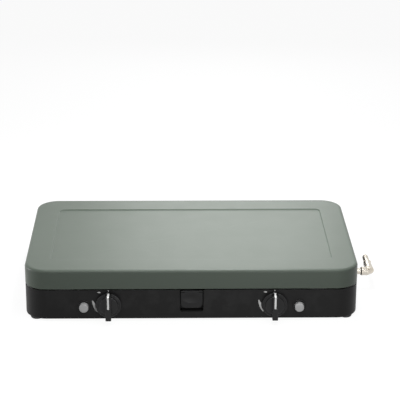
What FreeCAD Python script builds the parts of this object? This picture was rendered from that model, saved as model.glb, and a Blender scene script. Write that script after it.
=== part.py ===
import FreeCAD, Part
import math
import os
import re
import Sketcher

# Two-burner camping stove in a suitcase-shaped case, lid closed, knobs at off.
# Millimetres. Origin on the floor under the middle of the case, +X right, +Y back, +Z up.

SIZES = {
    # case
    "case_width": 530, "case_depth": 325, "corner_radius": 36, "sheet_metal": 1,
    "lid_height": 32.8, "seam_gap": 1.3, "lid_edge_radius": 5, "hem_width": 6, "hem_height": 3,
    "panel_width": 452, "panel_depth": 233, "panel_shift": -2, "panel_sink": 0.6, "panel_corner": 10,
    "base_inset": 1.3, "base_side_inset": 0.2, "base_bottom": 4, "base_edge_radius": 2.5, "rim_rise": 0.4,
    # top deck
    "deck_sheet": 1, "valve_headroom": 4, "flange_rise": 8, "flange_width": 18, "deck_fit": 0.3,
    "buffer_length": 24, "buffer_width": 2.6, "buffer_offset": 200,
    "screw_radius": 2, "screw_head_radius": 3.5, "screw_head_height": 1.6, "screw_reach": 4,
    "tab_width": 16, "tab_reach": 16, "screw_side_offset": 95, "screw_front_offset": 75,
    "hole_clearance": 0.05,
    # feet
    "foot_radius": 10, "foot_top_radius": 11, "foot_offset_side": 243, "foot_offset_front": 140,
    "foot_counterbore": 2.6, "foot_screw_length": 6,
    # rear hinges
    "hinge_offset": 160, "hinge_half_width": 25, "hinge_pivot_out": 4.5, "hinge_pivot_drop": 0.7,
    "knuckle_radius": 4, "hinge_pin_radius": 2, "lid_knuckle_half": 10.5, "knuckle_gap": 0.5,
    "base_leaf_height": 24, "lid_leaf_gap": 5.3, "lid_leaf_height": 20, "leaf_rivet_offset": 16,
    "rivet_radius": 2, "rivet_head_radius": 3.6, "rivet_head_height": 1,
    "base_rivet_drop": 14,
    # latch
    "latch_opening": 37.5, "latch_mouth_height": 38, "latch_corner": 4, "housing_wall": 2,
    "housing_depth": 13.4, "latch_gap": 0.5,
    "tab_clearance": 1.15, "finger_gap": 5.8, "latch_tab_sink": 0.5,
    "latch_tab_thickness": 10.2, "latch_pivot_in": 7.2, "latch_pivot_drop": 7.5,
    "latch_pin_radius": 1.5, "latch_tab_corner": 9,
    "scoop_depth": 4.2, "scoop_above_low": 17.6, "scoop_half_width": 13.5, "scoop_half_height": 10.3,
    "hook_half_width": 8, "hook_arm": 2.5, "hook_clearance": 0.3, "hook_nose": 2.4, "hook_nose_height": 2.2,
    "striker_half_width": 14, "striker_plate": 1.2, "striker_gap": 0.2, "striker_height": 14.1,
    "striker_ledge": 2, "striker_reach": 5.1,
    "latch_spring_radius": 3.2, "latch_spring_low": 10.3, "latch_spring_length": 5.4,
    "latch_slot_low": 9.9, "latch_slot_width": 6.2, "latch_slot_height": 11, "latch_spring_wire": 1,
    # knobs
    "knob_offset": 131.5, "knob_gap": 3.6, "skirt_radius": 20.3,
    "skirt_thickness": 2.5, "step_radius": 15.3, "step_thickness": 3.5, "knob_reach": 22,
    "grip_width": 9, "grip_length": 41, "knob_recess_radius": 11.5, "knob_recess_depth": 3.5,
    "pointer_width": 2.8, "pointer_depth": 0.5,
    # valves
    "spindle_radius": 3, "spindle_flat": 2.2, "spindle_in_knob": 7.7, "knob_bore_depth": 8,
    "nut_thickness": 3, "nut_corner_radius": 10.4, "nose_radius": 7, "nose_stand_out": 0.4,
    "valve_width": 24, "valve_height": 22, "valve_length": 35.7,
    "cavity_radius": 7.2, "cavity_wall": 1.2, "cavity_length": 15.5,
    "collar_radius": 5.2, "collar_thickness": 1.2, "collar_play": 0.5,
    "washer_radius": 6.6, "washer_thickness": 1.2, "washer_gap": 0.1,
    "spring_outer": 6.8, "spring_inner": 5.5,
    "plug_radius": 5, "plug_length": 17, "plug_stand_out": 4, "plug_end_play": 0.5,
    "slot_width": 2.4, "slot_depth": 6, "blade_thickness": 2.2, "blade_width": 8, "blade_length": 5,
    "blade_engagement": 2, "gas_bore_radius": 1.5, "outlet_radius": 5, "outlet_length": 4,
    "injector_radius": 4.6, "injector_length": 6, "jet_radius": 2.5, "jet_tip_radius": 1.5,
    "jet_length": 8, "jet_bore_radius": 0.6, "spigot_radius": 2.5, "spigot_length": 4,
    # gas supply
    "rail_radius": 5, "rail_wall": 1.2, "rail_gap": 0.2, "rail_floor_gap": 2.8, "rail_in": 27.2,
    "rail_left_end": 150,
    "rail_turn": 205, "rail_bend": 12, "rail_rise_start": 32,
    "inlet_back": -30, "inlet_rise": 0.5, "stub_radius": 6.8, "stub_length": 18.3,
    "inlet_hex_radius": 10.5, "inlet_nut_thickness": 4, "inlet_flange_thickness": 5,
    "inlet_socket_length": 8, "inlet_bore_radius": 2.5,
    "swivel_radius": 4, "swivel_length": 10, "swivel_end_play": 1,
    "ring_thickness": 1.2, "ring_radius": 6.6,
    "elbow_radius": 7.5, "elbow_length": 21.5, "arm_axis_out": 13.8, "arm_radius": 6, "arm_length": 32,
    "tail_hex_radius": 7.4, "tail_hex_length": 6, "tail_land_radius": 5, "tail_root_radius": 4.2,
    "tail_land_length": 9,
    "barb_length": 6, "barb_count": 3, "tail_bore_radius": 2.6, "thread_length": 6,
    # burners
    "burner_back": 12, "cup_radius": 28, "cup_below_mixer": 4, "cup_wall": 4, "cup_floor": 3,
    "deck_hole_clearance": 0.5, "burner_flange_radius": 35, "burner_flange_thickness": 2,
    "bowl_radius": 34, "bowl_height": 9, "mixer_radius": 8, "mixer_wall": 1.5, "jet_gap": 2.5,
    "bell_radius": 12, "bell_length": 10,
    "cap_radius": 35, "cap_thickness": 4, "cap_crown": 2, "cap_crown_radius": 31,
    "cap_spigot": 3, "cap_fit": 0.2,
    "probe_offset": 29, "probe_collar_radius": 4.5, "probe_collar_height": 2,
    "ceramic_radius": 3, "ceramic_drop": 15, "ceramic_rise": 11, "spark_pin_radius": 0.9,
    "spark_pin_length": 5, "thermocouple_radius": 2.2, "thermocouple_drop": 7,
    "thermocouple_rise": 14, "lead_radius": 1, "lead_bend": 9, "lead_valve_offset": 9,
    "lead_valve_rise": 5, "lead_rise": 9, "lead_inner_offset": 27.5, "lead_turn": 17,
    "lead_exit": 12,
    # pan supports
    "support_ring_radius": 85, "wire_radius": 2.5, "support_height": 31, "support_inner_radius": 30,
    "support_bend": 12,
    # igniters
    "igniter_offset": 170.5, "igniter_drop": 3.7, "button_radius": 7.5, "button_reach": 9.4,
    "button_length": 12.6, "stem_radius": 3.5, "stem_length": 20, "button_clearance": 0.2,
    "igniter_nose_wall": 1.3, "igniter_nose_reach": 1.5, "bezel_radius": 11, "bezel_thickness": 1.7,
    "igniter_bore_depth": 14.7, "igniter_flange_radius": 10.5, "igniter_flange_thickness": 2.7,
    "igniter_barrel_length": 13.7, "igniter_rear_radius": 6.8, "igniter_rear_length": 27,
    "stem_end_play": 5, "terminal_radius": 2, "terminal_length": 4,
    "igniter_spring_outer": 6.8, "igniter_spring_inner": 5.2, "spring_gap": 0.1,
    "igniter_wire_radius": 1.2, "wire_straight": 30,
}

SIDES = (("left", -1), ("right", 1))

# Often used places, as formulas over the sizes.
WALL_FRONT = "(base_inset - case_depth / 2)"
WALL_INNER = f"({WALL_FRONT} + sheet_metal)"
SIDE_OUTER = "(case_width / 2 - base_side_inset)"
SIDE_INNER = f"({SIDE_OUTER} - sheet_metal)"
FLANGE_X = f"({SIDE_INNER} - deck_fit)"
FLANGE_Y = f"(-{WALL_INNER} - deck_fit)"

# Heights, stacked from the floor: tray, gas rail, taps, deck, rim, lid.
FLOOR_TOP = "(base_bottom + sheet_metal)"
RAIL_Z = f"({FLOOR_TOP} + rail_floor_gap + rail_radius)"
KNOB_Z = f"({RAIL_Z} + rail_radius + rail_gap + valve_height / 2)"
DECK_TOP = f"({KNOB_Z} + valve_height / 2 + valve_headroom + deck_sheet)"
FLANGE_TOP = f"({DECK_TOP} + flange_rise)"
BASE_TOP = f"({FLANGE_TOP} + rim_rise)"
LID_BOTTOM = f"({BASE_TOP} + seam_gap)"
LID_TOP = f"({LID_BOTTOM} + lid_height)"

PIVOT_Y = "(case_depth / 2 + hinge_pivot_out)"
PIVOT_Z = f"({LID_BOTTOM} - hinge_pivot_drop)"
BASE_LEAF_LOW = f"({PIVOT_Z} - base_leaf_height)"
LID_LEAF_LOW = f"({LID_BOTTOM} + lid_leaf_gap)"
BASE_RIVET_Z = f"({PIVOT_Z} - base_rivet_drop)"
LID_RIVET_Z = f"({LID_LEAF_LOW} + lid_leaf_height / 2)"

LATCH_LOW = f"({BASE_TOP} - latch_mouth_height)"
LATCH_TOP = f"({FLANGE_TOP} - deck_sheet - latch_gap)"
LATCH_TAB_LOW = f"({LATCH_LOW} + finger_gap)"
LATCH_PIVOT_Z = f"({LATCH_TOP} - latch_pivot_drop)"
STRIKER_LOW = f"({LID_BOTTOM} + hem_height + striker_gap)"
HOOK_TOP = f"({STRIKER_LOW} + striker_ledge + hook_clearance + hook_nose_height)"

IGNITER_Z = f"({KNOB_Z} - igniter_drop)"
IGNITER_NOSE = "(button_radius + button_clearance + igniter_nose_wall)"
INLET_Z = f"({KNOB_Z} + inlet_rise)"
RAIL_Y = f"({WALL_FRONT} + rail_in)"
VALVE_REAR = f"({WALL_INNER} + valve_length)"
MIXER_FRONT = f"({VALVE_REAR} + outlet_length + injector_length + jet_length + jet_gap)"
BOWL_TOP = f"({DECK_TOP} + bowl_height)"
CUP_LOW = f"({KNOB_Z} - mixer_radius - cup_below_mixer)"

doc = FreeCAD.newDocument("camping_stove")
sheet = doc.addObject("Spreadsheet::Sheet", "sizes")
for row, (alias, number) in enumerate(SIZES.items(), start=1):
    sheet.set(f"A{row}", alias)
    sheet.set(f"B{row}", str(number))
    sheet.setAlias(f"B{row}", alias)
doc.recompute()

nodes = []


def size(alias):
    """The number that a cell of the sheet holds."""
    return float(sheet.get(alias))


def cell_name(found):
    """A size's place in the sheet, or the word as it stands."""
    word = found.group()
    return "sizes." + word if word in SIZES else word


def formula(text):
    """An expression for FreeCAD: each size's name becomes its cell in the sheet."""
    return re.sub(r"[a-z_]+", cell_name, str(text))


def bind(item, **formulas):
    """Tie an object's properties to formulas over the sheet."""
    for prop, text in formulas.items():
        item.setExpression(prop, formula(text))


DIRECTIONS = {
    "X": FreeCAD.Rotation(FreeCAD.Vector(0, 1, 0), 90),
    "Y": FreeCAD.Rotation(FreeCAD.Vector(1, 0, 0), -90),
    "Z": FreeCAD.Rotation(),
}


def place(item, at, axis="Z"):
    """Stand an object's own +Z along an axis, with its origin at three formulas."""
    item.Placement = FreeCAD.Placement(FreeCAD.Vector(), DIRECTIONS[axis])
    for letter, text in zip("xyz", at):
        item.setExpression("Placement.Base." + letter, formula(text))
    return item


def cylinder(name, radius, length, at, axis="Z"):
    item = doc.addObject("Part::Cylinder", name)
    bind(item, Radius=radius, Height=length)
    return place(item, at, axis)


def cone(name, start_radius, end_radius, length, at, axis="Z"):
    item = doc.addObject("Part::Cone", name)
    bind(item, Radius1=start_radius, Radius2=end_radius, Height=length)
    return place(item, at, axis)


def hexagon(name, corner_radius, length, at, axis="Z"):
    item = doc.addObject("Part::Prism", name)
    item.Polygon = 6
    bind(item, Circumradius=corner_radius, Height=length)
    return place(item, at, axis)


def box(name, low, extent):
    """A box from its lowest corner and its three extents."""
    item = doc.addObject("Part::Box", name)
    bind(item, Length=extent[0], Width=extent[1], Height=extent[2])
    return place(item, low)


def fuse(name, *items):
    item = doc.addObject("Part::MultiFuse", name)
    item.Shapes = list(items)
    item.Refine = True
    return item


def cut(name, base, *tools):
    item = doc.addObject("Part::Cut", name)
    item.Base = base
    item.Tool = tools[0] if len(tools) == 1 else fuse(name + "_tools", *tools)
    item.Refine = True
    return item


def ring(name, outer, inner, length, at, axis="Z"):
    solid = cylinder(name + "_outer", outer, length, at, axis)
    hole = cylinder(name + "_inner", inner, length, at, axis)
    return cut(name, solid, hole)


def group(name, items):
    item = doc.addObject("Part::Compound", name)
    item.Links = list(items)
    return item


def node(item, label):
    """Name a finished piece; it is written to a file of this name."""
    item.Label = label
    nodes.append(item)
    return item


def edges_of(feature, test):
    """Names of a feature's straight or curved edges that pass a test on their box."""
    found = []
    for number, edge in enumerate(feature.Shape.Edges, start=1):
        if test(edge.BoundBox):
            found.append(f"Edge{number}")
    return found


def block(name, width, depth, low, high, corner, edge=None, edge_at="top", shift="0"):
    """A rounded block, centred on the Z axis: corners in plan, then its top or bottom edge."""
    body = doc.addObject("PartDesign::Body", name)
    plane = [part for part in body.Origin.OriginFeatures if part.Role == "XY_Plane"][0]
    sketch = body.newObject("Sketcher::SketchObject", name + "_outline")
    sketch.AttachmentSupport = [(plane, "")]
    sketch.MapMode = "FlatFace"
    spots = [FreeCAD.Vector(x, y, 0) for x, y in ((-50, -30), (50, -30), (50, 30), (-50, 30))]
    for number in range(4):
        line = Part.LineSegment(spots[number], spots[(number + 1) % 4])
        sketch.addGeometry(line, False)
    for number in range(4):
        sketch.addConstraint(Sketcher.Constraint("Coincident", number, 2, (number + 1) % 4, 1))
    for number in (0, 2):
        sketch.addConstraint(Sketcher.Constraint("Horizontal", number))
    for number in (1, 3):
        sketch.addConstraint(Sketcher.Constraint("Vertical", number))
    sketch.addConstraint(Sketcher.Constraint("Symmetric", 0, 1, 1, 2, -1, 1))
    across = sketch.addConstraint(Sketcher.Constraint("DistanceX", 0, 1, 0, 2, 100))
    along = sketch.addConstraint(Sketcher.Constraint("DistanceY", 1, 1, 1, 2, 60))
    sketch.setExpression(f"Constraints[{across}]", formula(width))
    sketch.setExpression(f"Constraints[{along}]", formula(depth))
    pad = body.newObject("PartDesign::Pad", name + "_pad")
    pad.Profile = sketch
    bind(pad, Length=f"{high} - {low}")
    doc.recompute()
    corners = body.newObject("PartDesign::Fillet", name + "_corners")
    corners.Base = (pad, edges_of(pad, lambda b: b.ZLength > 0.01))
    bind(corners, Radius=corner)
    doc.recompute()
    if edge is not None:
        level = corners.Shape.BoundBox.ZMax if edge_at == "top" else corners.Shape.BoundBox.ZMin
        rim = edges_of(corners, lambda b: b.ZLength < 0.01 and abs(b.ZMax - level) < 0.01)
        rounded = body.newObject("PartDesign::Fillet", name + "_edge")
        rounded.Base = (corners, rim)
        bind(rounded, Radius=edge)
    place(body, ("0", shift, low))
    return body


def route(name, points):
    """Corner points of a bent tube, held by vertices whose places follow formulas."""
    marks = []
    for number, at in enumerate(points):
        mark = doc.addObject("Part::Vertex", f"{name}_corner_{number}")
        bind(mark, X=at[0], Y=at[1], Z=at[2])
        marks.append(mark)
    doc.recompute(marks)
    return [mark.Shape.Point for mark in marks]


def bent_tube(name, points, radius, bend, bore=0.0):
    """A round tube along straight runs joined by tangent arcs."""
    corners = route(name, points)
    start = corners[0]
    pieces = []
    for before, here, after in zip(corners, corners[1:], corners[2:]):
        back = (before - here).normalize()
        ahead = (after - here).normalize()
        half = math.acos(back.dot(ahead)) / 2
        reach = bend / math.tan(half)
        enter = here + back * reach
        leave = here + ahead * reach
        middle = here + (back + ahead).normalize() * (bend / math.sin(half) - bend)
        pieces.append(Part.LineSegment(start, enter).toShape())
        pieces.append(Part.Arc(enter, middle, leave).toShape())
        start = leave
    pieces.append(Part.LineSegment(start, corners[-1]).toShape())
    path = Part.Wire(pieces)
    direction = corners[1] - corners[0]

    def sweep(section_radius):
        circle = Part.Circle(corners[0], direction, section_radius).toShape()
        return path.makePipe(Part.Face(Part.Wire([circle])))

    shape = sweep(radius)
    expected = math.pi * radius ** 2 * path.Length
    if abs(shape.Volume / expected - 1) > 0.01:
        raise RuntimeError(f"{name}: the tube's volume doesn't match its length")
    if bore:
        shape = shape.cut(sweep(bore))
    item = doc.addObject("Part::Feature", name)
    item.Shape = shape
    return item


# ---------------------------------------------------------------- case

def make_base_tray():
    """Folded steel tray with screw tabs and the holes for controls, latch, inlet and feet."""
    outer = block("tray_outer", f"2 * {SIDE_OUTER}", f"-2 * {WALL_FRONT}", "base_bottom", BASE_TOP,
                  "corner_radius - base_inset", "base_edge_radius", "bottom")
    inner = block("tray_inner", f"2 * {SIDE_INNER}", f"-2 * {WALL_INNER}",
                  "(base_bottom + sheet_metal)", f"({BASE_TOP} + 1)",
                  "corner_radius - base_inset - sheet_metal", "base_edge_radius - sheet_metal", "bottom")
    shell = cut("tray_shell", outer, inner)
    tabs = [make_tray_tab(number, x, y, along) for number, (x, y, along) in enumerate(screw_places())]
    tools = []
    for side, sign in SIDES:
        tools.append(cylinder(f"tray_valve_hole_{side}", "nose_radius + 2 * hole_clearance",
                              "sheet_metal + 2",
                              (f"{sign} * knob_offset", f"{WALL_FRONT} - 1", KNOB_Z), "Y"))
        tools.append(cylinder(f"tray_igniter_hole_{side}", f"{IGNITER_NOSE} + 2 * hole_clearance",
                              "sheet_metal + 2",
                              (f"{sign} * igniter_offset", f"{WALL_FRONT} - 1", IGNITER_Z), "Y"))
        for offset in (-1, 1):
            x = f"{sign} * hinge_offset + {offset} * leaf_rivet_offset"
            tools.append(cylinder(f"tray_rivet_hole_{side}_{offset + 1}", "rivet_radius + hole_clearance",
                                  "sheet_metal + 2", (x, f"-{WALL_INNER} - 1", BASE_RIVET_Z), "Y"))
    tools.append(make_latch_mouth())
    tools.append(cylinder("tray_inlet_hole", "stub_radius + 2 * hole_clearance", "sheet_metal + 2",
                          (f"{SIDE_INNER} - 1", "inlet_back", INLET_Z), "X"))
    for number, (x, y) in enumerate(foot_places()):
        tools.append(cylinder(f"tray_foot_hole_{number}", "screw_radius + hole_clearance",
                              "sheet_metal + 2", (x, y, "base_bottom - 1")))
    for number, (x, y, _) in enumerate(screw_places()):
        tools.append(cylinder(f"tray_screw_hole_{number}", "screw_radius + hole_clearance",
                              "sheet_metal + 4", (x, y, f"{FLANGE_TOP} - deck_sheet - sheet_metal - 2")))
    node(cut("base_tray", fuse("tray_with_tabs", shell, *tabs), *tools), "base_tray")


def make_latch_mouth():
    """The notch in the front wall that the latch sits in, open at the rim."""
    mouth = block("latch_mouth", "latch_opening", f"2 * ({BASE_TOP} - {LATCH_LOW})",
                  "0", "(sheet_metal + 2)", "latch_corner")
    place(mouth, ("0", f"{WALL_FRONT} - 1", BASE_TOP), "Y")
    return mouth


def screw_places():
    """Where the deck's screws stand: two on each side, two in front and two behind."""
    side = f"({FLANGE_X} - flange_width / 2)"
    front = f"({FLANGE_Y} - flange_width / 2)"
    places = []
    for sign_x in (-1, 1):
        for sign_y in (-1, 1):
            places.append((f"{sign_x} * {side}", f"{sign_y} * screw_side_offset", "X"))
            places.append((f"{sign_x} * screw_front_offset", f"{sign_y} * {front}", "Y"))
    return places


def make_tray_tab(number, x, y, along):
    """A shelf folded in from the wall, under the deck's flange."""
    low = f"{FLANGE_TOP} - deck_sheet - sheet_metal"
    thick = "sheet_metal"
    root = "(sheet_metal / 2)"
    if along == "X":
        start = f"{SIDE_INNER} - tab_reach" if number >= 4 else f"-{SIDE_INNER} - {root}"
        return box(f"tray_tab_{number}", (start, f"{y} - tab_width / 2", low),
                   (f"tab_reach + {root}", "tab_width", thick))
    start = f"-{WALL_INNER} - tab_reach" if number in (3, 7) else f"{WALL_INNER} - {root}"
    return box(f"tray_tab_{number}", (f"{x} - tab_width / 2", start, low),
               ("tab_width", f"tab_reach + {root}", thick))


def foot_places():
    places = []
    for sign_x in (-1, 1):
        for sign_y in (-1, 1):
            places.append((f"{sign_x} * foot_offset_side", f"{sign_y} * foot_offset_front"))
    return places


def make_feet():
    """Rubber feet with a counterbored screw each."""
    feet = []
    screws = []
    for number, (x, y) in enumerate(foot_places()):
        body = cone(f"foot_{number}_body", "foot_radius", "foot_top_radius", "base_bottom", (x, y, "0"))
        hole = cylinder(f"foot_{number}_hole", "screw_radius + hole_clearance", "base_bottom", (x, y, "0"))
        bore = cylinder(f"foot_{number}_bore", "screw_head_radius + 2 * hole_clearance",
                        "foot_counterbore", (x, y, "0"))
        feet.append(cut(f"foot_{number}", body, hole, bore))
        head = cylinder(f"foot_screw_{number}_head", "screw_head_radius", "screw_head_height",
                        (x, y, "foot_counterbore - screw_head_height"))
        shank = cylinder(f"foot_screw_{number}_shank", "screw_radius", "foot_screw_length",
                         (x, y, "foot_counterbore"))
        screws.append(fuse(f"foot_screw_{number}", head, shank))
    node(group("rubber_feet", feet), "rubber_feet")
    node(group("foot_screws", screws), "foot_screws")


def make_hob_plate():
    """Pressed deck: a flange on the tray's tabs, a step down, and the burner holes."""
    slab = block("deck_slab", f"2 * {FLANGE_X}", f"2 * {FLANGE_Y}", f"({FLANGE_TOP} - deck_sheet)",
                 FLANGE_TOP, "corner_radius - base_inset - sheet_metal - deck_fit")
    pan_inset = "(flange_width - deck_sheet)"
    corner = "corner_radius - base_inset - sheet_metal - deck_fit - flange_width"
    pan = block("deck_pan", f"2 * ({FLANGE_X} - {pan_inset})", f"2 * ({FLANGE_Y} - {pan_inset})",
                f"({DECK_TOP} - deck_sheet)", FLANGE_TOP, f"{corner} + deck_sheet")
    recess = block("deck_recess", f"2 * ({FLANGE_X} - flange_width)", f"2 * ({FLANGE_Y} - flange_width)",
                   DECK_TOP, f"({FLANGE_TOP} + 1)", corner)
    tools = [recess]
    for side, sign in SIDES:
        x = f"{sign} * knob_offset"
        tools.append(cylinder(f"deck_burner_hole_{side}", "cup_radius + deck_hole_clearance",
                              "deck_sheet + 2", (x, "burner_back", f"{DECK_TOP} - deck_sheet - 1")))
        for probe, outward, radius in (("electrode", 1, "ceramic_radius"),
                                       ("thermocouple", -1, "thermocouple_radius")):
            probe_x = f"{sign} * (knob_offset + {outward} * probe_offset)"
            tools.append(cylinder(f"deck_{probe}_hole_{side}", f"{radius} + 2 * hole_clearance",
                                  "deck_sheet + 2",
                                  (probe_x, "burner_back - probe_offset", f"{DECK_TOP} - deck_sheet - 1")))
    for number, (x, y, _) in enumerate(screw_places()):
        tools.append(cylinder(f"deck_screw_hole_{number}", "screw_radius + hole_clearance",
                              "deck_sheet + 2", (x, y, f"{FLANGE_TOP} - deck_sheet - 1")))
    tools.append(box("deck_latch_gap", ("-latch_opening / 2 - housing_wall", f"-{FLANGE_Y} - 1",
                                        f"{FLANGE_TOP} - deck_sheet - 1"),
                     ("latch_opening + 2 * housing_wall", "housing_depth + housing_wall + 1.6",
                      "deck_sheet + 2")))
    node(cut("hob_plate", fuse("deck_sheet_form", slab, pan), *tools), "hob_plate")


def make_hob_screws():
    screws = []
    for number, (x, y, _) in enumerate(screw_places()):
        head = cylinder(f"hob_screw_{number}_head", "screw_head_radius", "screw_head_height",
                        (x, y, FLANGE_TOP))
        shank = cylinder(f"hob_screw_{number}_shank", "screw_radius", "screw_reach",
                         (x, y, f"{FLANGE_TOP} - screw_reach"))
        screws.append(fuse(f"hob_screw_{number}", head, shank))
    node(group("hob_screws", screws), "hob_screws")


def make_lid():
    """Pressed lid: a deep tray upside down, a folded hem and a sunk panel."""
    outer = block("lid_outer", "case_width", "case_depth", LID_BOTTOM, LID_TOP,
                  "corner_radius", "lid_edge_radius", "top")
    cavity = block("lid_cavity", "case_width - 2 * sheet_metal", "case_depth - 2 * sheet_metal",
                   f"({LID_BOTTOM} + hem_height)", f"({LID_TOP} - sheet_metal)",
                   "corner_radius - sheet_metal", "lid_edge_radius - sheet_metal", "top")
    mouth = block("lid_mouth", "case_width - 2 * hem_width", "case_depth - 2 * hem_width",
                  f"({LID_BOTTOM} - 1)", f"({LID_BOTTOM} + hem_height + 1)", "corner_radius - hem_width")
    panel = block("lid_panel", "panel_width", "panel_depth", f"({LID_TOP} - panel_sink)", f"({LID_TOP} + 1)",
                  "panel_corner", shift="panel_shift")
    panel_back = block("lid_panel_back", "panel_width", "panel_depth",
                       f"({LID_TOP} - panel_sink - sheet_metal)", LID_TOP, "panel_corner",
                       shift="panel_shift")
    tools = [cut("lid_hollow", cavity, panel_back), mouth, panel]
    for side, sign in SIDES:
        for offset in (-1, 1):
            x = f"{sign} * hinge_offset + {offset} * leaf_rivet_offset"
            tools.append(cylinder(f"lid_rivet_hole_{side}_{offset + 1}", "rivet_radius + hole_clearance",
                                  "sheet_metal + 2",
                                  (x, "case_depth / 2 - sheet_metal - 1", LID_RIVET_Z), "Y"))
    node(cut("lid_shell", outer, *tools), "lid_shell")


def make_lid_buffers():
    """Rubber pads on the deck's flange that the lid's hem comes down on."""
    pads = []
    for number, (sign_x, sign_y) in enumerate(((-1, -1), (-1, 1), (1, -1), (1, 1))):
        low_y = f"{FLANGE_Y} - buffer_width" if sign_y > 0 else f"-{FLANGE_Y}"
        pads.append(box(f"lid_buffer_{number}",
                        (f"{sign_x} * buffer_offset - buffer_length / 2", low_y, FLANGE_TOP),
                        ("buffer_length", "buffer_width", f"{LID_BOTTOM} - {FLANGE_TOP}")))
    node(group("lid_buffers", pads), "lid_buffers")


# ---------------------------------------------------------------- hinges

def rivet(name, x, outer_face, inner_face, height):
    """A rivet through the rear wall and a leaf, with a head on each side."""
    shank = cylinder(name + "_shank", "rivet_radius", f"{outer_face} - {inner_face}",
                     (x, inner_face, height), "Y")
    outside = cone(name + "_head", "rivet_head_radius", "rivet_head_radius - 1", "rivet_head_height",
                   (x, outer_face, height), "Y")
    inside = cylinder(name + "_tail", "rivet_head_radius - 0.6", "rivet_head_height",
                      (x, f"{inner_face} - rivet_head_height", height), "Y")
    return fuse(name, shank, outside, inside)


def make_hinges():
    """Two rear hinges: a leaf on the base, a leaf on the lid and a pin in each."""
    pins = []
    base_rivets = []
    lid_rivets = []
    base_wall = f"(-{WALL_FRONT})"
    lid_wall = "(case_depth / 2)"
    for side, sign in SIDES:
        x = f"{sign} * hinge_offset"
        left = f"{x} - hinge_half_width"
        plate = box(f"base_leaf_plate_{side}", (left, base_wall, BASE_LEAF_LOW),
                    ("2 * hinge_half_width", "sheet_metal", f"{PIVOT_Z} - {BASE_LEAF_LOW}"))
        parts = [plate]
        for number, start in enumerate((left, f"{x} + lid_knuckle_half + knuckle_gap")):
            length = "hinge_half_width - lid_knuckle_half - knuckle_gap"
            parts.append(cylinder(f"base_knuckle_{side}_{number}", "knuckle_radius", length,
                                  (start, PIVOT_Y, PIVOT_Z), "X"))
            parts.append(box(f"base_web_{side}_{number}",
                             (start, base_wall, f"{PIVOT_Z} - knuckle_radius"),
                             (length, f"{PIVOT_Y} - {base_wall}", "knuckle_radius")))
        bore = cylinder(f"base_leaf_bore_{side}", "hinge_pin_radius + hole_clearance",
                        "2 * hinge_half_width", (left, PIVOT_Y, PIVOT_Z), "X")
        relief = cylinder(f"base_leaf_relief_{side}", "knuckle_radius + knuckle_gap",
                          "2 * (lid_knuckle_half + knuckle_gap)",
                          (f"{x} - lid_knuckle_half - knuckle_gap", PIVOT_Y, PIVOT_Z), "X")
        holes = [bore, relief]
        for offset in (-1, 1):
            rivet_x = f"{x} + {offset} * leaf_rivet_offset"
            holes.append(cylinder(f"base_leaf_hole_{side}_{offset + 1}", "rivet_radius + hole_clearance",
                                  "sheet_metal", (rivet_x, base_wall, BASE_RIVET_Z), "Y"))
            base_rivets.append(rivet(f"base_rivet_{side}_{offset + 1}", rivet_x,
                                     f"({base_wall} + sheet_metal)", f"(-{WALL_INNER})",
                                     BASE_RIVET_Z))
            lid_rivets.append(rivet(f"lid_rivet_{side}_{offset + 1}", rivet_x,
                                    f"({lid_wall} + sheet_metal)", f"({lid_wall} - sheet_metal)",
                                    LID_RIVET_Z))
        node(cut(f"base_hinge_leaf_{side}", fuse(f"base_leaf_form_{side}", *parts), *holes),
             f"base_hinge_leaf_{side}")

        lid_plate = box(f"lid_leaf_plate_{side}", (left, lid_wall, LID_LEAF_LOW),
                        ("2 * hinge_half_width", "sheet_metal", "lid_leaf_height"))
        tongue = box(f"lid_leaf_tongue_{side}", (f"{x} - lid_knuckle_half", lid_wall, LID_BOTTOM),
                     ("2 * lid_knuckle_half", "sheet_metal", f"{LID_LEAF_LOW} - {LID_BOTTOM}"))
        web = box(f"lid_leaf_web_{side}",
                  (f"{x} - lid_knuckle_half", lid_wall, LID_BOTTOM),
                  ("2 * lid_knuckle_half", "hinge_pivot_out",
                   f"{PIVOT_Z} + knuckle_radius - {LID_BOTTOM}"))
        knuckle = cylinder(f"lid_knuckle_{side}", "knuckle_radius", "2 * lid_knuckle_half",
                           (f"{x} - lid_knuckle_half", PIVOT_Y, PIVOT_Z), "X")
        lid_holes = [cylinder(f"lid_leaf_bore_{side}", "hinge_pin_radius + hole_clearance",
                              "2 * lid_knuckle_half",
                              (f"{x} - lid_knuckle_half", PIVOT_Y, PIVOT_Z), "X")]
        for offset in (-1, 1):
            rivet_x = f"{x} + {offset} * leaf_rivet_offset"
            lid_holes.append(cylinder(f"lid_leaf_hole_{side}_{offset + 1}",
                                      "rivet_radius + hole_clearance", "sheet_metal",
                                      (rivet_x, lid_wall, LID_RIVET_Z), "Y"))
        node(cut(f"lid_hinge_leaf_{side}",
                 fuse(f"lid_leaf_form_{side}", lid_plate, tongue, web, knuckle), *lid_holes),
             f"lid_hinge_leaf_{side}")
        pins.append(cylinder(f"hinge_pin_{side}", "hinge_pin_radius", "2 * hinge_half_width",
                             (left, PIVOT_Y, PIVOT_Z), "X"))
    node(group("hinge_pins", pins), "hinge_pins")
    node(group("base_rivets", base_rivets), "base_rivets")
    node(group("lid_rivets", lid_rivets), "lid_rivets")


# ---------------------------------------------------------------- latch

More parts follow.
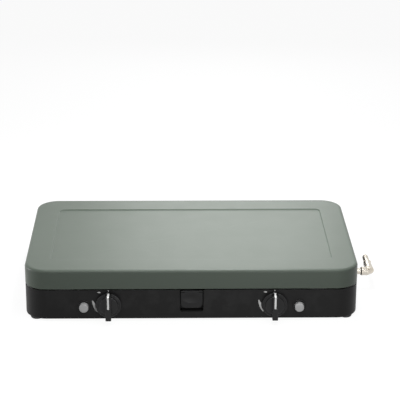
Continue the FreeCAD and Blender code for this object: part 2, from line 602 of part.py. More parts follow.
def make_latch():
    """Sprung pull tab in a pocket; its hook reaches up to the ledge inside the lid."""
    back = "housing_depth"
    outer = box("housing_outer", ("-latch_opening / 2 - housing_wall", WALL_INNER,
                                  f"{LATCH_LOW} - housing_wall"),
                ("latch_opening + 2 * housing_wall", f"{back} + housing_wall",
                 f"{LATCH_TOP} - {LATCH_LOW} + housing_wall"))
    pocket = box("housing_pocket", ("-latch_opening / 2", WALL_INNER, LATCH_LOW),
                 ("latch_opening", back, f"{LATCH_TOP} - {LATCH_LOW}"))
    pivot_y = f"({WALL_FRONT} + latch_pivot_in)"
    bore = cylinder("housing_pin_hole", "latch_pin_radius + hole_clearance",
                    "latch_opening + 2 * housing_wall",
                    ("-latch_opening / 2 - housing_wall", pivot_y, LATCH_PIVOT_Z), "X")
    node(cut("latch_housing", outer, pocket, bore), "latch_housing")

    front = f"({WALL_FRONT} + latch_tab_sink)"
    rear = f"({WALL_FRONT} + latch_tab_sink + latch_tab_thickness)"
    half = "(latch_opening / 2 - tab_clearance)"
    middle = f"({LATCH_TAB_LOW} + {LATCH_TOP}) / 2"
    plate = block("latch_plate", f"2 * {half}", f"{LATCH_TOP} - {LATCH_TAB_LOW}", "0",
                  "latch_tab_thickness", "latch_tab_corner")
    place(plate, ("0", front, middle), "Y")
    shoulders = box("latch_shoulders", (f"-{half}", front, middle),
                    (f"2 * {half}", "latch_tab_thickness", f"{LATCH_TOP} - {middle}"))
    arm = box("latch_arm", ("-hook_half_width", f"{rear} - hook_arm", f"{LATCH_TOP} - 1"),
              ("2 * hook_half_width", "hook_arm", f"{HOOK_TOP} - {LATCH_TOP} + 1"))
    nose = box("latch_nose", ("-hook_half_width", f"{rear} - hook_arm - hook_nose",
                              f"{HOOK_TOP} - hook_nose_height"),
               ("2 * hook_half_width", "hook_nose + 1", "hook_nose_height"))
    scoop = doc.addObject("Part::Ellipsoid", "latch_scoop")
    bind(scoop, Radius1="scoop_half_height", Radius2="scoop_half_width", Radius3="scoop_depth")
    scoop.Angle1 = -90
    place(scoop, ("0", front, f"{LATCH_TAB_LOW} + scoop_above_low"))
    pin_hole = cylinder("latch_tab_hole", "latch_pin_radius + hole_clearance", f"2 * {half}",
                        (f"-{half}", pivot_y, LATCH_PIVOT_Z), "X")
    slot = box("latch_spring_slot", ("latch_slot_low", f"{pivot_y} - latch_spring_radius - 0.4",
                                     f"{LATCH_PIVOT_Z} - latch_slot_height / 2 + 0.5"),
               ("latch_slot_width", "latch_tab_thickness", "latch_slot_height"))
    node(cut("latch_tab", fuse("latch_form", plate, shoulders, arm, nose), scoop, pin_hole, slot),
         "latch_tab")

    node(cylinder("latch_pin", "latch_pin_radius", "latch_opening + 2 * housing_wall",
                  ("-latch_opening / 2 - housing_wall", pivot_y, LATCH_PIVOT_Z), "X"), "latch_pin")

    coil = cylinder("latch_spring_coil", "latch_spring_radius", "latch_spring_length",
                    ("latch_spring_low", pivot_y, LATCH_PIVOT_Z), "X")
    leg = box("latch_spring_leg", ("latch_spring_low", pivot_y,
                                   f"{LATCH_PIVOT_Z} + latch_spring_radius - latch_spring_wire"),
              ("latch_spring_wire", f"{WALL_INNER} + housing_depth - {pivot_y} - 0.1",
               "latch_spring_wire"))
    eye = cylinder("latch_spring_eye", "latch_pin_radius + 2 * hole_clearance", "latch_spring_length",
                   ("latch_spring_low", pivot_y, LATCH_PIVOT_Z), "X")
    node(cut("latch_spring", fuse("latch_spring_form", coil, leg), eye), "latch_spring")

    lid_inner = "(sheet_metal - case_depth / 2)"
    strip = box("striker_strip", ("-striker_half_width", lid_inner, STRIKER_LOW),
                ("2 * striker_half_width", "striker_plate", "striker_height"))
    ledge = box("striker_ledge_form", ("-striker_half_width", lid_inner, STRIKER_LOW),
                ("2 * striker_half_width", "striker_reach", "striker_ledge"))
    node(fuse("lid_striker", strip, ledge), "lid_striker")


# ---------------------------------------------------------------- controls

def make_knob(side, sign):
    """Control knob: skirt, step and long grip, hollow behind, with a D-shaped bore."""
    x = f"{sign} * knob_offset"
    rear = f"({WALL_FRONT} - knob_gap)"
    front = f"({WALL_FRONT} - knob_reach)"
    step_front = f"({rear} - skirt_thickness - step_thickness)"
    skirt = cylinder(f"knob_skirt_{side}", "skirt_radius", "skirt_thickness",
                     (x, f"{rear} - skirt_thickness", KNOB_Z), "Y")
    step = cylinder(f"knob_step_{side}", "step_radius", "step_thickness + 1",
                    (x, step_front, KNOB_Z), "Y")
    grip = box(f"knob_grip_{side}", (f"{x} - grip_width / 2", front, f"{KNOB_Z} - grip_length / 2"),
               ("grip_width", f"{rear} - {front} - 1", "grip_length"))
    recess = cylinder(f"knob_recess_{side}", "knob_recess_radius", "knob_recess_depth + 1",
                      (x, f"{rear} - knob_recess_depth", KNOB_Z), "Y")
    bore_start = f"({rear} - knob_recess_depth - knob_bore_depth)"
    bore = cylinder(f"knob_bore_{side}", "spindle_radius + hole_clearance", "knob_bore_depth + 1",
                    (x, bore_start, KNOB_Z), "Y")
    key = box(f"knob_key_{side}", (f"{x} - spindle_radius - 1", f"{bore_start} - 1",
                                   f"{KNOB_Z} - spindle_radius - 1"),
              ("2 * spindle_radius + 2", "knob_bore_depth + 1",
               "spindle_radius + 1 - spindle_flat - hole_clearance"))
    bore = cut(f"knob_d_bore_{side}", bore, key)
    front_groove = box(f"pointer_front_groove_{side}",
                       (f"{x} - pointer_width / 2", f"{front} - 1", KNOB_Z),
                       ("pointer_width", "pointer_depth + 1", "grip_length / 2 + 1"))
    top_groove = box(f"pointer_top_groove_{side}",
                     (f"{x} - pointer_width / 2", f"{front} - 1",
                      f"{KNOB_Z} + grip_length / 2 - pointer_depth"),
                     ("pointer_width", f"{rear} - skirt_thickness - {front} + 1", "pointer_depth + 1"))
    node(cut(f"knob_{side}", fuse(f"knob_form_{side}", skirt, step, grip),
             recess, bore, front_groove, top_groove), f"knob_{side}")

    face = box(f"pointer_face_{side}", (f"{x} - pointer_width / 2", front, KNOB_Z),
               ("pointer_width", "pointer_depth", "grip_length / 2"))
    top = box(f"pointer_top_{side}", (f"{x} - pointer_width / 2", front,
                                      f"{KNOB_Z} + grip_length / 2 - pointer_depth"),
              ("pointer_width", f"{rear} - skirt_thickness - {front}", "pointer_depth"))
    node(fuse(f"knob_pointer_{side}", face, top), f"knob_pointer_{side}")


def make_valve(side, sign):
    """Gas tap: body with nose and spigot, turning plug, spring, thrust washer and spindle."""
    x = f"{sign} * knob_offset"
    at = lambda y: (x, y, KNOB_Z)
    nose_front = f"({WALL_FRONT} - nut_thickness - nose_stand_out)"
    cavity_front = f"({WALL_INNER} + cavity_wall)"
    cavity_rear = f"({cavity_front} + cavity_length)"
    plug_front = f"({cavity_rear} - plug_stand_out)"
    plug_rear = f"({plug_front} + plug_length)"

    block_form = box(f"valve_block_{side}", (f"{x} - valve_width / 2", WALL_INNER,
                                             f"{KNOB_Z} - valve_height / 2"),
                     ("valve_width", "valve_length", "valve_height"))
    nose = cylinder(f"valve_nose_{side}", "nose_radius", f"{WALL_INNER} - {nose_front} + 1",
                    at(nose_front), "Y")
    outlet = cylinder(f"valve_outlet_{side}", "outlet_radius", "outlet_length + 1",
                      at(f"{VALVE_REAR} - 1"), "Y")
    spigot = cylinder(f"valve_spigot_{side}", "spigot_radius", "spigot_length + 1",
                      (x, RAIL_Y, f"{KNOB_Z} - valve_height / 2 - spigot_length"))
    form = fuse(f"valve_form_{side}", block_form, nose, outlet, spigot)
    tools = [
        cylinder(f"valve_nose_bore_{side}", "spindle_radius + 1.2 * hole_clearance",
                 f"{cavity_front} - {nose_front} + 2", at(f"{nose_front} - 1"), "Y"),
        cylinder(f"valve_cavity_{side}", "cavity_radius", "cavity_length", at(cavity_front), "Y"),
        cylinder(f"valve_plug_bore_{side}", "plug_radius + hole_clearance",
                 f"{plug_rear} + plug_end_play - {cavity_rear}", at(cavity_rear), "Y"),
        cylinder(f"valve_gas_bore_{side}", "gas_bore_radius",
                 f"{VALVE_REAR} + outlet_length - {plug_rear} + 1", at(plug_rear), "Y"),
        cylinder(f"valve_inlet_bore_{side}", "gas_bore_radius",
                 "spigot_length + valve_height / 2 - plug_radius + 1",
                 (x, RAIL_Y, f"{KNOB_Z} - valve_height / 2 - spigot_length - 1")),
    ]
    node(cut(f"valve_body_{side}", form, *tools), f"valve_body_{side}")

    plug = cylinder(f"plug_form_{side}", "plug_radius", "plug_length", at(plug_front), "Y")
    slot = box(f"plug_slot_{side}", (f"{x} - plug_radius - 1", f"{plug_front} - 1",
                                     f"{KNOB_Z} - slot_width / 2"),
               ("2 * plug_radius + 2", "slot_depth + 1", "slot_width"))
    node(cut(f"valve_plug_{side}", plug, slot), f"valve_plug_{side}")

    collar_front = f"({cavity_front} + collar_play)"
    washer_front = f"({collar_front} + collar_thickness + washer_gap)"
    spring_front = f"({washer_front} + washer_thickness + washer_gap)"
    spindle_front = f"({WALL_FRONT} - knob_gap - knob_recess_depth - spindle_in_knob)"
    blade_rear = f"({plug_front} + blade_engagement)"
    blade_front = f"({blade_rear} - blade_length)"
    rod = cylinder(f"spindle_rod_{side}", "spindle_radius", f"{blade_front} - {spindle_front}",
                   at(spindle_front), "Y")
    collar = cylinder(f"spindle_collar_{side}", "collar_radius", "collar_thickness",
                      at(collar_front), "Y")
    blade = box(f"spindle_blade_{side}", (f"{x} - blade_width / 2", blade_front,
                                          f"{KNOB_Z} - blade_thickness / 2"),
                ("blade_width", "blade_length", "blade_thickness"))
    flat = box(f"spindle_flat_cut_{side}", (f"{x} - spindle_radius - 1", f"{spindle_front} - 1",
                                            f"{KNOB_Z} - spindle_radius - 1"),
               ("2 * spindle_radius + 2", "spindle_in_knob + 1", "spindle_radius + 1 - spindle_flat"))
    node(cut(f"valve_spindle_{side}", fuse(f"spindle_form_{side}", rod, collar, blade), flat),
         f"valve_spindle_{side}")

    node(ring(f"valve_thrust_washer_{side}", "washer_radius", "spindle_radius + 1.2 * hole_clearance",
              "washer_thickness", at(washer_front), "Y"), f"valve_thrust_washer_{side}")
    node(ring(f"valve_spring_{side}", "spring_outer", "spring_inner",
              f"{cavity_rear} - {spring_front} - washer_gap", at(spring_front), "Y"),
         f"valve_spring_{side}")

    nut = hexagon(f"valve_nut_form_{side}", "nut_corner_radius", "nut_thickness",
                  at(f"{WALL_FRONT} - nut_thickness"), "Y")
    nut_bore = cylinder(f"valve_nut_bore_{side}", "nose_radius + hole_clearance", "nut_thickness",
                        at(f"{WALL_FRONT} - nut_thickness"), "Y")
    injector_front = f"({VALVE_REAR} + outlet_length)"
    hexed = hexagon(f"injector_hex_{side}", "injector_radius", "injector_length",
                    at(injector_front), "Y")
    jet = cone(f"injector_jet_{side}", "jet_radius", "jet_tip_radius", "jet_length",
               at(f"{injector_front} + injector_length"), "Y")
    jet_bore = cylinder(f"injector_bore_{side}", "jet_bore_radius", "injector_length + jet_length + 2",
                        at(f"{injector_front} - 1"), "Y")
    return (cut(f"valve_nut_{side}", nut, nut_bore),
            cut(f"injector_{side}", fuse(f"injector_form_{side}", hexed, jet), jet_bore))


def make_igniter(side, sign):
    """Piezo igniter: threaded nose and barrel, sprung button and ring nut."""
    x = f"{sign} * igniter_offset"
    at = lambda y: (x, y, IGNITER_Z)
    nose_front = f"({WALL_FRONT} - igniter_nose_reach)"
    barrel_rear = f"({WALL_INNER} + igniter_barrel_length)"
    rear = f"({barrel_rear} + igniter_rear_length)"
    bore_rear = f"({nose_front} + igniter_bore_depth)"
    button_front = f"({WALL_FRONT} - button_reach)"
    button_rear = f"({button_front} + button_length)"
    form = fuse(
        f"igniter_form_{side}",
        cylinder(f"igniter_nose_{side}", IGNITER_NOSE, f"{barrel_rear} - {nose_front}",
                 at(nose_front), "Y"),
        cylinder(f"igniter_flange_{side}", "igniter_flange_radius", "igniter_flange_thickness",
                 at(WALL_INNER), "Y"),
        cylinder(f"igniter_rear_{side}", "igniter_rear_radius", "igniter_rear_length + 1",
                 at(f"{barrel_rear} - 1"), "Y"),
        cylinder(f"igniter_terminal_{side}", "terminal_radius", "terminal_length + 1",
                 at(f"{rear} - 1"), "Y"),
    )
    wide_bore = cylinder(f"igniter_bore_{side}", "button_radius + button_clearance",
                         "igniter_bore_depth + 1", at(f"{nose_front} - 1"), "Y")
    stem_bore = cylinder(f"igniter_stem_bore_{side}", "stem_radius + 2 * hole_clearance",
                         f"{button_rear} + stem_length + stem_end_play - {bore_rear} + 1",
                         at(f"{bore_rear} - 1"), "Y")
    node(cut(f"igniter_body_{side}", form, wide_bore, stem_bore), f"igniter_body_{side}")

    head = cylinder(f"button_head_{side}", "button_radius", "button_length", at(button_front), "Y")
    stem = cylinder(f"button_stem_{side}", "stem_radius", "stem_length + 1",
                    at(f"{button_rear} - 1"), "Y")
    node(fuse(f"igniter_button_{side}", head, stem), f"igniter_button_{side}")
    node(ring(f"igniter_spring_{side}", "igniter_spring_outer", "igniter_spring_inner",
              f"{bore_rear} - {button_rear} - 2 * spring_gap", at(f"{button_rear} + spring_gap"), "Y"),
         f"igniter_spring_{side}")
    return ring(f"igniter_bezel_{side}", "bezel_radius", f"{IGNITER_NOSE} + hole_clearance",
                "bezel_thickness", at(f"{WALL_FRONT} - bezel_thickness"), "Y")


# ---------------------------------------------------------------- gas supply

def make_gas_rail():
    """Supply tube: under both taps, back along the right side and up to the inlet."""
    flange = "(inlet_nut_thickness + inlet_flange_thickness)"
    points = (
        ("-rail_left_end", RAIL_Y, RAIL_Z),
        ("rail_turn", RAIL_Y, RAIL_Z),
        ("rail_turn", "inlet_back - rail_rise_start", RAIL_Z),
        ("rail_turn", "inlet_back", INLET_Z),
        (f"{SIDE_INNER} - {flange} - inlet_socket_length / 4", "inlet_back", INLET_Z),
    )
    tube = bent_tube("rail_tube", points, size("rail_radius"), size("rail_bend"),
                     size("rail_radius") - size("rail_wall"))
    holes = []
    for side, sign in SIDES:
        holes.append(cylinder(f"rail_hole_{side}", "spigot_radius + hole_clearance", "2 * rail_radius",
                              (f"{sign} * knob_offset", RAIL_Y, RAIL_Z)))
    plug = cylinder("rail_end_plug", "rail_radius - rail_wall / 2", "rail_wall",
                    ("-rail_left_end", RAIL_Y, RAIL_Z), "X")
    node(cut("gas_rail", fuse("rail_form", tube, plug), *holes), "gas_rail")


def make_inlet():
    """Bulkhead fitting, lock nut, seal ring, swivelling elbow and hose tail."""
    at = lambda x: (x, "inlet_back", INLET_Z)
    nut_start = f"({SIDE_INNER} - inlet_nut_thickness)"
    flange_start = f"({nut_start} - inlet_flange_thickness)"
    socket_start = f"({flange_start} - inlet_socket_length)"
    stub_end = f"({SIDE_OUTER} + stub_length)"
    form = fuse(
        "inlet_form",
        cylinder("inlet_stub", "stub_radius", f"{stub_end} - {flange_start}", at(flange_start), "X"),
        hexagon("inlet_flange", "inlet_hex_radius", "inlet_flange_thickness", at(flange_start), "X"),
        cylinder("inlet_socket", "stub_radius", "inlet_socket_length + 1", at(socket_start), "X"),
        cylinder("inlet_spigot", "swivel_radius", "swivel_length + ring_thickness + 1",
                 at(f"{stub_end} - 1"), "X"),
    )
    bore = cylinder("inlet_bore", "inlet_bore_radius",
                    f"{stub_end} + swivel_length + ring_thickness - {socket_start} + 2",
                    at(f"{socket_start} - 1"), "X")
    seat = cylinder("inlet_seat", "rail_radius + hole_clearance",
                    "3 * inlet_socket_length / 4 + 1", at(f"{socket_start} - 1"), "X")
    node(cut("inlet_fitting", form, bore, seat), "inlet_fitting")

    nut = hexagon("lock_nut_form", "inlet_hex_radius", "inlet_nut_thickness", at(nut_start), "X")
    nut_bore = cylinder("lock_nut_bore", "stub_radius + hole_clearance", "inlet_nut_thickness",
                        at(nut_start), "X")
    node(cut("inlet_lock_nut", nut, nut_bore), "inlet_lock_nut")
    node(ring("inlet_o_ring", "ring_radius", "swivel_radius + hole_clearance", "ring_thickness",
              at(stub_end), "X"), "inlet_o_ring")

    elbow_start = f"({stub_end} + ring_thickness)"
    arm_x = f"({elbow_start} + arm_axis_out)"
    arm_end = "(inlet_back + arm_length)"
    form = fuse(
        "elbow_form",
        cylinder("elbow_body", "elbow_radius", "elbow_length", at(elbow_start), "X"),
        cylinder("elbow_arm", "arm_radius", "arm_length", (arm_x, "inlet_back", INLET_Z), "Y"),
    )
    socket = cylinder("elbow_socket", "swivel_radius + hole_clearance",
                      "swivel_length + swivel_end_play", at(elbow_start), "X")
    passage = cylinder("elbow_passage", "tail_bore_radius", "arm_length + 1",
                       (arm_x, "inlet_back", INLET_Z), "Y")
    thread = cylinder("elbow_thread", "tail_root_radius + hole_clearance", "thread_length + 1",
                      (arm_x, f"{arm_end} - thread_length", INLET_Z), "Y")
    node(cut("inlet_elbow", form, socket, passage, thread), "inlet_elbow")

    tail_parts = [
        cylinder("tail_thread", "tail_root_radius", "thread_length + 1",
                 (arm_x, f"{arm_end} - thread_length", INLET_Z), "Y"),
        hexagon("tail_hex", "tail_hex_radius", "tail_hex_length", (arm_x, arm_end, INLET_Z), "Y"),
        cylinder("tail_root", "tail_root_radius", "tail_land_length + barb_count * barb_length",
                 (arm_x, f"{arm_end} + tail_hex_length", INLET_Z), "Y"),
        cylinder("tail_land", "tail_land_radius", "tail_land_length",
                 (arm_x, f"{arm_end} + tail_hex_length", INLET_Z), "Y"),
    ]
    for number in range(int(size("barb_count"))):
        start = f"{arm_end} + tail_hex_length + tail_land_length + {number} * barb_length"
        tail_parts.append(cone(f"tail_barb_{number}", "tail_land_radius", "tail_root_radius", "barb_length",
                               (arm_x, start, INLET_Z), "Y"))
    tail_bore = cylinder("tail_bore", "tail_bore_radius",
                         "thread_length + tail_hex_length + tail_land_length"
                         " + barb_count * barb_length + 2",
                         (arm_x, f"{arm_end} - thread_length - 1", INLET_Z), "Y")
    node(cut("hose_tail", fuse("tail_form", *tail_parts), tail_bore), "hose_tail")


# ---------------------------------------------------------------- burners

def make_burner(side, sign):
    """Cast burner cup with its mixer tube, and the loose cap on top."""
    x = f"{sign} * knob_offset"
    at = lambda z: (x, "burner_back", z)
    cup = cylinder(f"burner_cup_{side}", "cup_radius", f"{DECK_TOP} - {CUP_LOW} + 1", at(CUP_LOW))
    flange = cylinder(f"burner_flange_{side}", "burner_flange_radius", "burner_flange_thickness",
                      at(DECK_TOP))
    bowl = cylinder(f"burner_bowl_{side}", "bowl_radius", "bowl_height", at(DECK_TOP))
    tube = cylinder(f"burner_mixer_{side}", "mixer_radius", f"burner_back - {MIXER_FRONT}",
                    (x, MIXER_FRONT, KNOB_Z), "Y")
    bell = cone(f"burner_bell_{side}", "bell_radius", "mixer_radius", "bell_length",
                (x, MIXER_FRONT, KNOB_Z), "Y")
    form = fuse(f"burner_form_{side}", cup, flange, bowl, tube, bell)
    hollow = cylinder(f"burner_hollow_{side}", "cup_radius - cup_wall",
                      f"{BOWL_TOP} - {CUP_LOW} - cup_floor + 1", at(f"{CUP_LOW} + cup_floor"))
    throat = cylinder(f"burner_throat_{side}", "mixer_radius - mixer_wall",
                      f"burner_back - {MIXER_FRONT} + 1", (x, f"{MIXER_FRONT} - 1", KNOB_Z), "Y")
    mouth = cone(f"burner_mouth_{side}", "bell_radius - mixer_wall", "mixer_radius - mixer_wall",
                 "bell_length", (x, MIXER_FRONT, KNOB_Z), "Y")
    node(cut(f"burner_body_{side}", form, hollow, throat, mouth), f"burner_body_{side}")

    disc = cylinder(f"cap_disc_{side}", "cap_radius", "cap_thickness", at(BOWL_TOP))
    crown = cone(f"cap_crown_{side}", "cap_radius", "cap_crown_radius", "cap_crown",
                 at(f"{BOWL_TOP} + cap_thickness"))
    spigot = cylinder(f"cap_spigot_{side}", "cup_radius - cup_wall - cap_fit", "cap_spigot + 1",
                      at(f"{BOWL_TOP} - cap_spigot"))
    node(fuse(f"burner_cap_{side}", disc, crown, spigot), f"burner_cap_{side}")


def make_probes(side, sign):
    """Spark electrode and flame sensor beside a burner, and their leads."""
    back = "(burner_back - probe_offset)"
    spark_at = lambda z: (f"{sign} * (knob_offset + probe_offset)", back, z)
    node(fuse(
        f"electrode_{side}",
        cylinder(f"electrode_ceramic_{side}", "ceramic_radius", "ceramic_rise + ceramic_drop",
                 spark_at(f"{DECK_TOP} - ceramic_drop")),
        cylinder(f"electrode_collar_{side}", "probe_collar_radius", "probe_collar_height",
                 spark_at(DECK_TOP)),
        cylinder(f"electrode_pin_{side}", "spark_pin_radius", "spark_pin_length + 1",
                 spark_at(f"{DECK_TOP} + ceramic_rise - 1")),
    ), f"electrode_{side}")

    x_tip = f"{sign} * (knob_offset - probe_offset)"
    x_valve = f"{sign} * (knob_offset - lead_valve_offset)"
    z_valve = f"{KNOB_Z} + lead_valve_rise"
    lead_z = f"{FLOOR_TOP} + lead_rise"
    points = (
        (x_tip, back, f"{DECK_TOP} - thermocouple_drop + 1"),
        (x_tip, back, lead_z),
        (f"{sign} * (knob_offset - lead_inner_offset)", f"{VALVE_REAR} + lead_exit + lead_turn", lead_z),
        (x_valve, f"{VALVE_REAR} + lead_exit", z_valve),
        (x_valve, VALVE_REAR, z_valve),
    )
    lead = bent_tube(f"thermocouple_lead_{side}", points, size("lead_radius"), size("lead_bend"))
    tip_at = lambda z: (f"{sign} * (knob_offset - probe_offset)", back, z)
    node(fuse(
        f"thermocouple_{side}", lead,
        cylinder(f"thermocouple_tip_{side}", "thermocouple_radius",
                 "thermocouple_rise + thermocouple_drop", tip_at(f"{DECK_TOP} - thermocouple_drop")),
        cylinder(f"thermocouple_collar_{side}", "probe_collar_radius", "probe_collar_height",
                 tip_at(DECK_TOP)),
    ), f"thermocouple_{side}")

    terminal = f"({WALL_INNER} + igniter_barrel_length + igniter_rear_length + terminal_length)"
    x_start = f"{sign} * igniter_offset"
    x_end = f"{sign} * (knob_offset + probe_offset)"
    wire_points = (
        (x_start, terminal, IGNITER_Z),
        (x_start, f"{terminal} + wire_straight", IGNITER_Z),
        (f"({x_start} + {x_end}) / 2", f"({terminal} + wire_straight + {back}) / 2", lead_z),
        (x_end, back, lead_z),
        (x_end, back, f"{DECK_TOP} - ceramic_drop"),
    )
    return bent_tube(f"igniter_wire_{side}", wire_points, size("igniter_wire_radius"),
                     size("lead_bend"))


def make_pan_support(side, sign):
    """Bent wire grate: a ring on the deck and four arms over the burner."""
    ring_form = doc.addObject("Part::Torus", f"support_ring_{side}")
    bind(ring_form, Radius1="support_ring_radius", Radius2="wire_radius")
    place(ring_form, (f"{sign} * knob_offset", "burner_back", f"{DECK_TOP} + wire_radius"))
    arms = []
    for number in range(4):
        angle = math.radians(45 + 90 * number)
        reach_x = f"{sign} * knob_offset + {math.cos(angle):.6f}"
        reach_y = f"burner_back + {math.sin(angle):.6f}"
        foot = (f"{reach_x} * support_ring_radius", f"{reach_y} * support_ring_radius")
        tip = (f"{reach_x} * support_inner_radius", f"{reach_y} * support_inner_radius")
        points = (
            (*foot, f"{DECK_TOP} + wire_radius / 2"),
            (*foot, f"{DECK_TOP} + support_height"),
            (*tip, f"{DECK_TOP} + support_height"),
        )
        arms.append(bent_tube(f"support_arm_{side}_{number}", points, size("wire_radius"),
                              size("support_bend")))
    node(fuse(f"pan_support_{side}", ring_form, *arms), f"pan_support_{side}")


make_base_tray()
make_feet()
make_hob_plate()
make_hob_screws()
make_lid()
make_lid_buffers()
make_hinges()
make_latch()
nuts = []
injectors = []
bezels = []
wires = []
for side_name, side_sign in SIDES:
    make_knob(side_name, side_sign)
    valve_nut, injector = make_valve(side_name, side_sign)
    nuts.append(valve_nut)
    injectors.append(injector)
    bezels.append(make_igniter(side_name, side_sign))
    make_burner(side_name, side_sign)
    wires.append(make_probes(side_name, side_sign))
    make_pan_support(side_name, side_sign)
node(group("valve_nuts", nuts), "valve_nuts")
node(group("injectors", injectors), "injectors")
node(group("igniter_bezels", bezels), "igniter_bezels")
node(group("igniter_wires", wires), "igniter_wires")
make_gas_rail()
make_inlet()
doc.recompute()

for item in doc.Objects:
    if "Invalid" in item.State or "Error" in item.State:
        raise RuntimeError(f"{item.Name} failed: {item.State}")
for item in nodes:
    if item.Shape.isNull() or not item.Shape.isValid() or not item.Shape.Solids:
        raise RuntimeError(f"{item.Label} has no valid solid")

os.makedirs("parts", exist_ok=True)
for item in nodes:
    item.Shape.exportStep(f"parts/{item.Label}.step")
print(len(nodes), "pieces written")
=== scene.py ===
import math

import bpy
import numpy as np
from bpy.props import FloatProperty, FloatVectorProperty, IntProperty, PointerProperty
from mathutils import Matrix, Vector


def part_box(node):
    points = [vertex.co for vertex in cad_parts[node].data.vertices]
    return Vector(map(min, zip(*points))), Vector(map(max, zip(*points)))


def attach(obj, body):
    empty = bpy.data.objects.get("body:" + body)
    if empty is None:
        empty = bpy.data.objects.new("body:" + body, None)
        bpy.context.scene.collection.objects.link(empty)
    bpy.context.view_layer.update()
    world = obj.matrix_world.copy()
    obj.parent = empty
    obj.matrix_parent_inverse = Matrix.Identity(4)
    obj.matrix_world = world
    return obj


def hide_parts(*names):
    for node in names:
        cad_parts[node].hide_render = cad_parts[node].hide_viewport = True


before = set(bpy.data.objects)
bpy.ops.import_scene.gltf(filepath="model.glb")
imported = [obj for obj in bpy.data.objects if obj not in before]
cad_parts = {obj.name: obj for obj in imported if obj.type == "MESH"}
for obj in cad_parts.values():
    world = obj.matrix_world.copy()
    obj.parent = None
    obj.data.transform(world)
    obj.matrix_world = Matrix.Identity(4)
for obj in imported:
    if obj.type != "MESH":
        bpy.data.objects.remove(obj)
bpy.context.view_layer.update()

bl_info = {
    "name": "Two-burner camping stove",
    "version": (1, 0, 0),
    "blender": (4, 5, 0),
    "location": "3D View > Sidebar > Stove",
    "description": "Builds the finished surfaces of a camping stove around its packed frame",
    "category": "Add Mesh",
}

# Shapes are worked out in millimetres and put into the meshes in metres.
MM = 0.001
SIDES = (("left", -1), ("right", 1))
CORNERS = ((-1, -1), (-1, 1), (1, -1), (1, 1))

# Right, up and outward directions of a face that looks the way its name says.
FACING = {
    "front": ((1, 0, 0), (0, 0, 1), (0, -1, 0)),
    "rear": ((-1, 0, 0), (0, 0, 1), (0, 1, 0)),
    "right": ((0, 1, 0), (0, 0, 1), (1, 0, 0)),
    "top": ((1, 0, 0), (0, 1, 0), (0, 0, 1)),
    "under": ((1, 0, 0), (0, -1, 0), (0, 0, -1)),
}


def span(node):
    """A CAD node's lowest and highest corners, in millimetres."""
    low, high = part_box(node)
    return np.array(low) / MM, np.array(high) / MM


def middle_of(node):
    """The middle of a CAD node's box, in millimetres."""
    return sum(span(node)) / 2


# ---------------------------------------------------------------- sizes and colours

LID_LOW, LID_HIGH = span("lid_shell")
BASE_LOW, BASE_HIGH = span("base_tray")
HOB_LOW, HOB_HIGH = span("hob_plate")


def length_property(name, description, default, least, most):
    """The length of a detail, given in millimetres."""
    return FloatProperty(name=name, description=description, default=default * MM,
                         min=least * MM, max=most * MM, unit="LENGTH")


def count_property(name, description, default, least, most):
    """A number of like features."""
    return IntProperty(name=name, description=description, default=default, min=least, max=most)


def colour_property(name, description, default):
    """The colour of a finish."""
    return FloatVectorProperty(name=name, description=description, default=default,
                               size=3, min=0, max=1, subtype="COLOR")


class StoveSizes(bpy.types.PropertyGroup):
    """Sizes of the pressed and moulded details."""
    lid_edge: length_property("Lid edge", "Radius of the bend round the lid's top", 5, 2, 9)
    panel_step: length_property("Panel step", "How far the lid's panel is pressed in", 1.7, 0.3, 3)
    panel_slope: length_property("Panel slope", "Width of the step round the panel", 1.7, 0.5, 6)
    base_edge: length_property("Base edge", "Radius of the bend round the tray's floor", 2.5, 1.5,
                               9)
    scoop_depth: length_property("Finger scoop", "Depth of the hollow in the latch tab", 2.2, 1, 5)
    spring_turns: count_property("Spring turns", "Turns of wire in each return spring", 5, 3, 12)
    flame_ports: count_property("Flame ports", "Slots round each burner", 36, 12, 60)
    thread_turns: count_property("Thread turns", "Ridges on the tail by the elbow", 4, 2, 8)


class StoveColours(bpy.types.PropertyGroup):
    """Base colours of the finishes."""
    lid_paint: colour_property("Lid paint", "Powder coat on the lid", (0.088, 0.108, 0.088))
    base_paint: colour_property("Base paint", "Powder coat on the tray", (0.0125, 0.0123, 0.0123))
    ink: colour_property("Print", "Ink of the printed control marks", (0.60, 0.60, 0.59))
    buttons: colour_property("Buttons", "Moulded igniter buttons", (0.53, 0.53, 0.53))
    plastic: colour_property("Knobs", "Moulded knobs and latch", (0.013, 0.013, 0.0134))
    inlet: colour_property("Inlet", "Nickelled brass of the hose inlet", (0.58, 0.54, 0.475))


# ---------------------------------------------------------------- surfaces

def outline(half_x, half_y, radius, shift=0.0, arc=12):
    """Rounded rectangle: four quarter arcs joined by its straight sides, anticlockwise.

    A point of an arc is corner centre + radius * (cos a, sin a); radius may be four values.
    """
    radii = np.repeat(np.broadcast_to(radius, 4), arc)
    angle = np.concatenate([np.linspace(0, np.pi / 2, arc) + turn * np.pi / 2 for turn in range(4)])
    sign_x = np.repeat([1, -1, -1, 1], arc)
    sign_y = np.repeat([1, 1, -1, -1], arc)
    x = sign_x * (half_x - radii) + radii * np.cos(angle)
    y = sign_y * (half_y - radii) + radii * np.sin(angle) + shift
    return np.stack([x, y], axis=1)


def evenly(loop, count=176):
    """The flat loop's outline with its points at even steps of length along it."""
    ends = np.vstack([loop, loop[:1]])
    along = np.concatenate([[0], np.cumsum(np.linalg.norm(np.diff(ends, axis=0), axis=1))])
    steps = np.linspace(0, along[-1], count, endpoint=False)
    return np.stack([np.interp(steps, along, ends[:, axis]) for axis in (0, 1)], axis=1)


def at_height(loop, height):
    """The flat loop lifted to a height."""
    return np.column_stack([loop, np.full(len(loop), float(height))])


def oval(wide, tall, angle):
    """Flat points (wide * cos a, tall * sin a)."""
    return np.stack([wide * np.cos(angle), tall * np.sin(angle)], axis=1)


